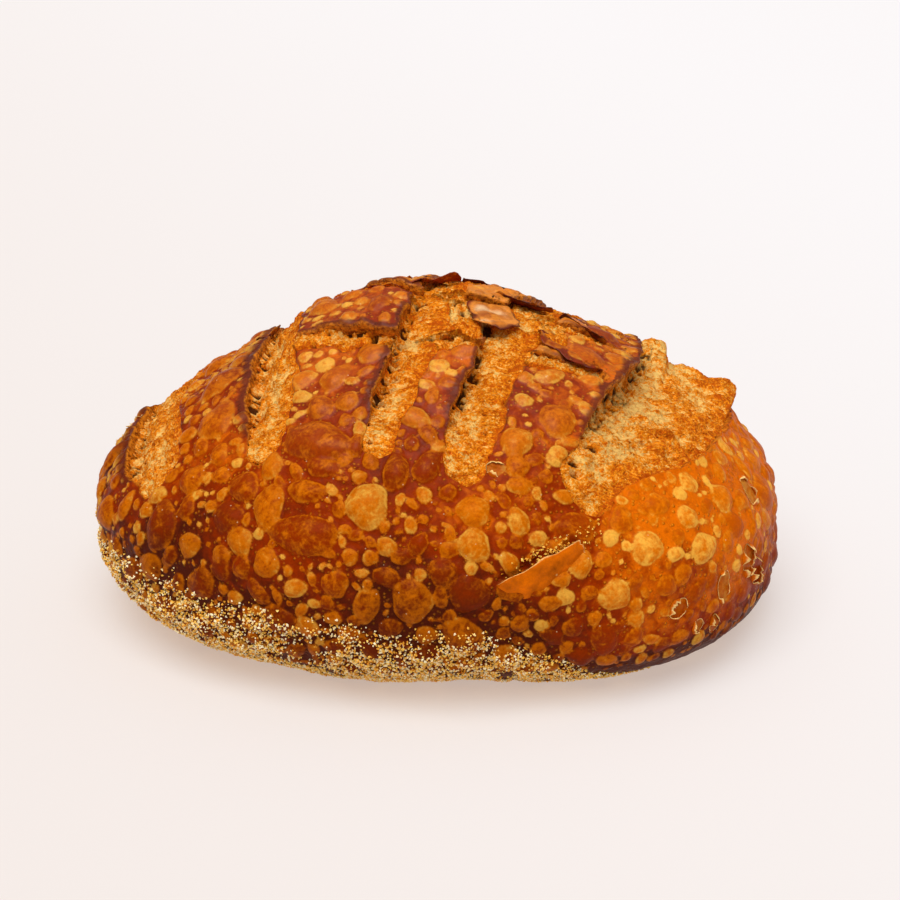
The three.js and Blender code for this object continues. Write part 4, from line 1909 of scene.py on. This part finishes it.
@dataclass
class TornSkins:
    """The thin skins that stand off the crust: the burst flap, and the rims of burst blisters."""

    body: LoafBody
    blisters: Blisters
    flap: BurstFlap
    rim_steps: int = 44
    rim_rows: int = 4
    rim_height: tuple[float, float] = (0.7, 2.8)
    rim_limits: tuple[float, float] = (0.25, 3.0)
    rim_thickness: float = 0.24
    full_radius: float = 4.0
    sink: float = 0.5
    lean: float = 0.8
    flap_pale: float = 0.7
    finish: SkinFinish = SkinFinish()
    seed: int = 300

    def build(self) -> bpy.types.Object:
        """Makes all torn skins as one joined piece.

        Returns:
            The piece.
        """
        sheet, normals, edge = self.flap.sheet(self.body)
        shell = closed_shell(sheet, normals, self.flap.thickness)
        flap = (*shell, {"edge": np.tile(self.flap_pale * edge.ravel(), 2)})
        rims = [self._rim(b) for b in self.blisters.found if b.state is BlisterState.BURST]
        piece = piece_from("torn_skins", *joined([flap, *rims]))
        dress(piece, self.finish.material())
        return piece

    def _rim(self, blister: Blister) -> Part:
        """The ragged ring of skin left round a burst blister.

        Args:
            blister: the blister.

        Returns:
            The ring's points, its triangles and how near each point is to the torn edge.
        """
        up = self.body.normal(blister.centre[None])[0]
        level, steep = level_axes(up)
        angle = np.linspace(0, 2 * math.pi, self.rim_steps, endpoint=False)
        u, v = np.cos(angle), np.sin(angle)
        span = 1 / blister.reach(u, v)
        away = u[:, None] * level + v[:, None] * steep
        foot = blister.centre + away * span[:, None]
        foot = self.body.point(unit(self.body.from_middle(foot)))
        grain = Grain(self.seed + blister.number)
        jag = grain.at(foot, 2.2) + 0.6 * grain.at(foot, 0.9)
        kept = smooth(grain.at(foot + 5, 4.0), -0.12, 0.2)
        tall = np.clip(mix(*self.rim_height, 0.5 + 0.5 * jag), *self.rim_limits)
        tall = tall * min(1.0, blister.radius / self.full_radius) * kept
        rise = np.linspace(-self.sink, 1, self.rim_rows)[:, None]
        lift = self.body.lumps(foot) + np.where(rise > 0, rise * tall, rise)
        lean = -self.lean * np.maximum(rise, 0) * tall
        sheet = foot + up * lift[..., None] + away * lean[..., None]
        facing = np.broadcast_to(away, sheet.shape)
        points, triangles = closed_shell(sheet, facing, self.rim_thickness, wrapped=True)
        edge = np.broadcast_to(np.clip(rise, 0, 1), sheet.shape[:2])
        return points, triangles, {"edge": np.tile(edge.ravel(), 2)}


@dataclass(frozen=True)
class Flake:
    """One thin flake of crust that stands off the crest.

    Attributes:
        centre: its middle in plan.
        length: how long it is.
        width: how wide it is.
        turn: the angle of its length in plan.
        lift: how far its free edge, on the front side, stands off the crumb.
        bake: how dark it is baked.
        tan: how dry and tan it is.
    """

    centre: tuple[float, float]
    length: float
    width: float
    turn: float
    lift: float
    bake: float
    tan: float = 0.0


@dataclass
class CrestFlakes:
    """Flakes of crust, lifted and curled where the strokes cross on the crest."""

    body: LoafBody
    flakes: tuple[Flake, ...] = (
        Flake((-14, 11), 34, 13, 0.05, 3.4, 0.25),
        Flake((16, -12), 16, 19, 0.3, 2.4, 0.5, 1.4),
        Flake((25, 7), 22, 7, 0.35, 2.4, 0.7),
        Flake((47, 8), 17, 10, -0.1, 3.0, 0.8),
        Flake((43, -17), 24, 17, -0.25, 2.4, 0.45),
        Flake((-70, 22), 15, 6, 1.1, 2.0, 0.7),
        Flake((10, 44), 20, 14, 0.3, 2.6, 0.6),
        Flake((-28, 38), 24, 14, 0.1, 2.4, 0.6),
    )
    spacing: float = 0.8
    thickness: float = 0.8
    seat: float = -0.4
    dome_radius: tuple[float, float] = (1.3, 3.4)
    dome_area: float = 22.0
    dome_height: float = 0.8
    torn_sizes: tuple[tuple[float, float], ...] = ((5.5, 1.6), (1.8, 0.5))
    finish: CrustFinish = CrustFinish()
    seed: int = 401

    def build(self) -> bpy.types.Object:
        """Makes all flakes as one joined piece.

        Returns:
            The piece.
        """
        parts = [self._flake(flake, self.seed + k) for k, flake in enumerate(self.flakes)]
        piece = piece_from("crest_flakes", *joined(parts))
        dress(piece, self.finish.material())
        return piece

    def _flake(self, flake: Flake, seed: int) -> Part:
        """One flake: a ragged leaf of crust with domes on it, free along its front edge.

        Args:
            flake: its place, size and look.
            seed: which ragged outline and domes it gets.

        Returns:
            Its points, its triangles and the values that the crust's finish reads.
        """
        rng = np.random.default_rng(seed)
        grain = Grain(seed)
        columns, rows = (max(6, int(side / self.spacing)) for side in (flake.length, flake.width))
        u, v = (grid.ravel() for grid in np.meshgrid(np.linspace(-1, 1, columns), np.linspace(-1, 1, rows)))
        waist = 1 - mix(0.45, 0.1, min(flake.tan, 1.0)) * np.abs(u) ** 2.6
        along = 0.5 * flake.length * u * (1 - 0.12 * v * v)
        aside = 0.5 * flake.width * v * waist
        flat = np.stack([along, aside, np.zeros_like(along)], 1)
        rim = np.maximum(np.abs(u), np.abs(v)) ** 3
        for size, depth in self.torn_sizes:
            along = along + depth * rim * grain.at(flat, size)
            aside = aside + depth * rim * grain.at(flat + 31, size)
        c, s = math.cos(flake.turn), math.sin(flake.turn)
        x = flake.centre[0] + c * along - s * aside
        y = flake.centre[1] + s * along + c * aside
        base = self.body.on_top(x, y)
        inside = np.full(len(x), -3.0)
        tone = np.zeros(len(x))
        for _ in range(int(flake.length * flake.width / self.dome_area)):
            radius = mix(*self.dome_radius, rng.random() ** 1.5)
            centre = flat[rng.integers(len(flat))]
            depth = radius - np.linalg.norm(flat - centre, axis=1)
            tone = np.where(depth > inside, 0.15 + 0.5 * rng.random(), tone)
            inside = np.maximum(inside, depth)
        crown = np.clip(inside / 2.4, 0, 1)
        free = smooth(-v, -0.5, 1.0)
        off = self.seat + flake.lift * (free**1.2 + 0.35 * np.abs(u) ** 3) + self.dome_height * crown**0.7
        off = off + 0.9 * grain.at(flat, 5.5) * free + self.body.lumps(base)
        normals = self.body.normal(base)
        points = base + normals * off[:, None]
        shape = (rows, columns, 3)
        thickness = (self.thickness * (1 - 0.6 * rim)).reshape(rows, columns)
        shell, triangles = closed_shell(points.reshape(shape), normals.reshape(shape), thickness)
        count = len(x)
        values = {
            "blister": inside,
            "crown": crown,
            "tone": tone,
            "burst": np.zeros(count),
            "bake": np.full(count, flake.bake) + 0.25 * rim,
            "tan": flake.tan * (1 - 0.7 * rim) * (1 + 0.7 * grain.at(flat + 3, 6.0)),
            "ear": (0.4 + 0.5 * min(flake.tan, 1)) * rim * free,
            "wall": np.zeros(count),
        }
        return shell, triangles, {key: np.tile(value, 2) for key, value in values.items()}


def direction(turn: float, height: float) -> Vector:
    """The direction at an angle round from the front and an angle above the floor, in degrees."""
    around, up = math.radians(turn), math.radians(height)
    return Vector((math.sin(around) * math.cos(up), -math.cos(around) * math.cos(up), math.sin(up)))


@dataclass(frozen=True)
class Studio:
    """A pale floor, soft light and the camera at the photograph's angle."""

    elevation: float = 22.0
    yaw: float = 5.0
    distance: float = 950.0
    focal_pixels: float = 2600.0
    picture_side: float = 900.0
    sensor: float = 36.0
    aim_height: float = 60.5
    floor_side: float = 9.0
    world_colour: Colour = (1.0, 0.985, 0.975, 1.0)
    zenith_strength: float = 0.62
    horizon_strength: float = 0.12
    key_strength: float = 2.5
    key_spread: float = 50.0
    key_turn: float = -8.0
    key_height: float = 63.0
    finish: FloorFinish = FloorFinish()

    def build(self) -> None:
        """Makes the floor, the lights and the camera."""
        self._camera()
        self._floor()
        self._lights()
        view = bpy.context.scene.view_settings
        view.view_transform = "Standard"
        view.look = "None"

    def _camera(self) -> None:
        """The camera, aimed at the middle of the loaf."""
        back = direction(self.yaw, self.elevation)
        aim = Vector((*FRAME_SHIFT, self.aim_height)) * MM
        lens = bpy.data.cameras.new("camera")
        lens.sensor_width = self.sensor
        lens.lens = self.sensor * self.focal_pixels / self.picture_side
        camera = bpy.data.objects.new("camera", lens)
        camera.location = aim + back * self.distance * MM
        camera.rotation_euler = back.to_track_quat("Z", "Y").to_euler()
        bpy.context.collection.objects.link(camera)
        bpy.context.scene.camera = camera

    def _floor(self) -> None:
        """The floor, wide enough to fill the picture."""
        half = self.floor_side / 2
        mesh = bpy.data.meshes.new("floor")
        corners = [(-half, -half, 0), (half, -half, 0), (half, half, 0), (-half, half, 0)]
        mesh.from_pydata(corners, [], [(0, 1, 2, 3)])
        mesh.materials.append(self.finish.material())
        floor = bpy.data.objects.new("floor", mesh)
        bpy.context.collection.objects.link(floor)

    def _lights(self) -> None:
        """A sky that is bright overhead and dim at the horizon, and a broad soft key above the camera."""
        world = bpy.data.worlds.new("studio")
        world.use_nodes = True
        sky = NodeTree(world.node_tree, "Generated")
        heights = {"Value": sky.axis("Z"), "To Min": self.horizon_strength, "To Max": self.zenith_strength}
        strength = sky.node("ShaderNodeMapRange", {}, heights)
        glow = sky.node("ShaderNodeBackground", {}, {"Color": self.world_colour, "Strength": strength})
        sky.end("ShaderNodeOutputWorld", glow)
        bpy.context.scene.world = world
        sun = bpy.data.lights.new("front_key", "SUN")
        sun.energy = self.key_strength
        sun.angle = math.radians(self.key_spread)
        key = bpy.data.objects.new("front_key", sun)
        back = direction(self.key_turn, self.key_height)
        key.rotation_euler = back.to_track_quat("Z", "Y").to_euler()
        bpy.context.collection.objects.link(key)


def main() -> None:
    """Builds the loaf and its studio."""
    logging.basicConfig(level=logging.INFO, format="%(name)s: %(message)s")
    Studio().build()
    body = LoafBody()
    scoring = Scoring(body)
    crust = Crust(body, scoring, Blisters(body, scoring), BurstFlap())
    skins = TornSkins(body, crust.blisters, crust.flap)
    for assembly in (crust, Crumb(body, scoring), skins, CrestFlakes(body), Cornmeal(crust)):
        piece = assembly.build()
        log.info("%s: %d triangles", piece.name, len(piece.data.polygons))


if __name__ == "__main__":
    main()
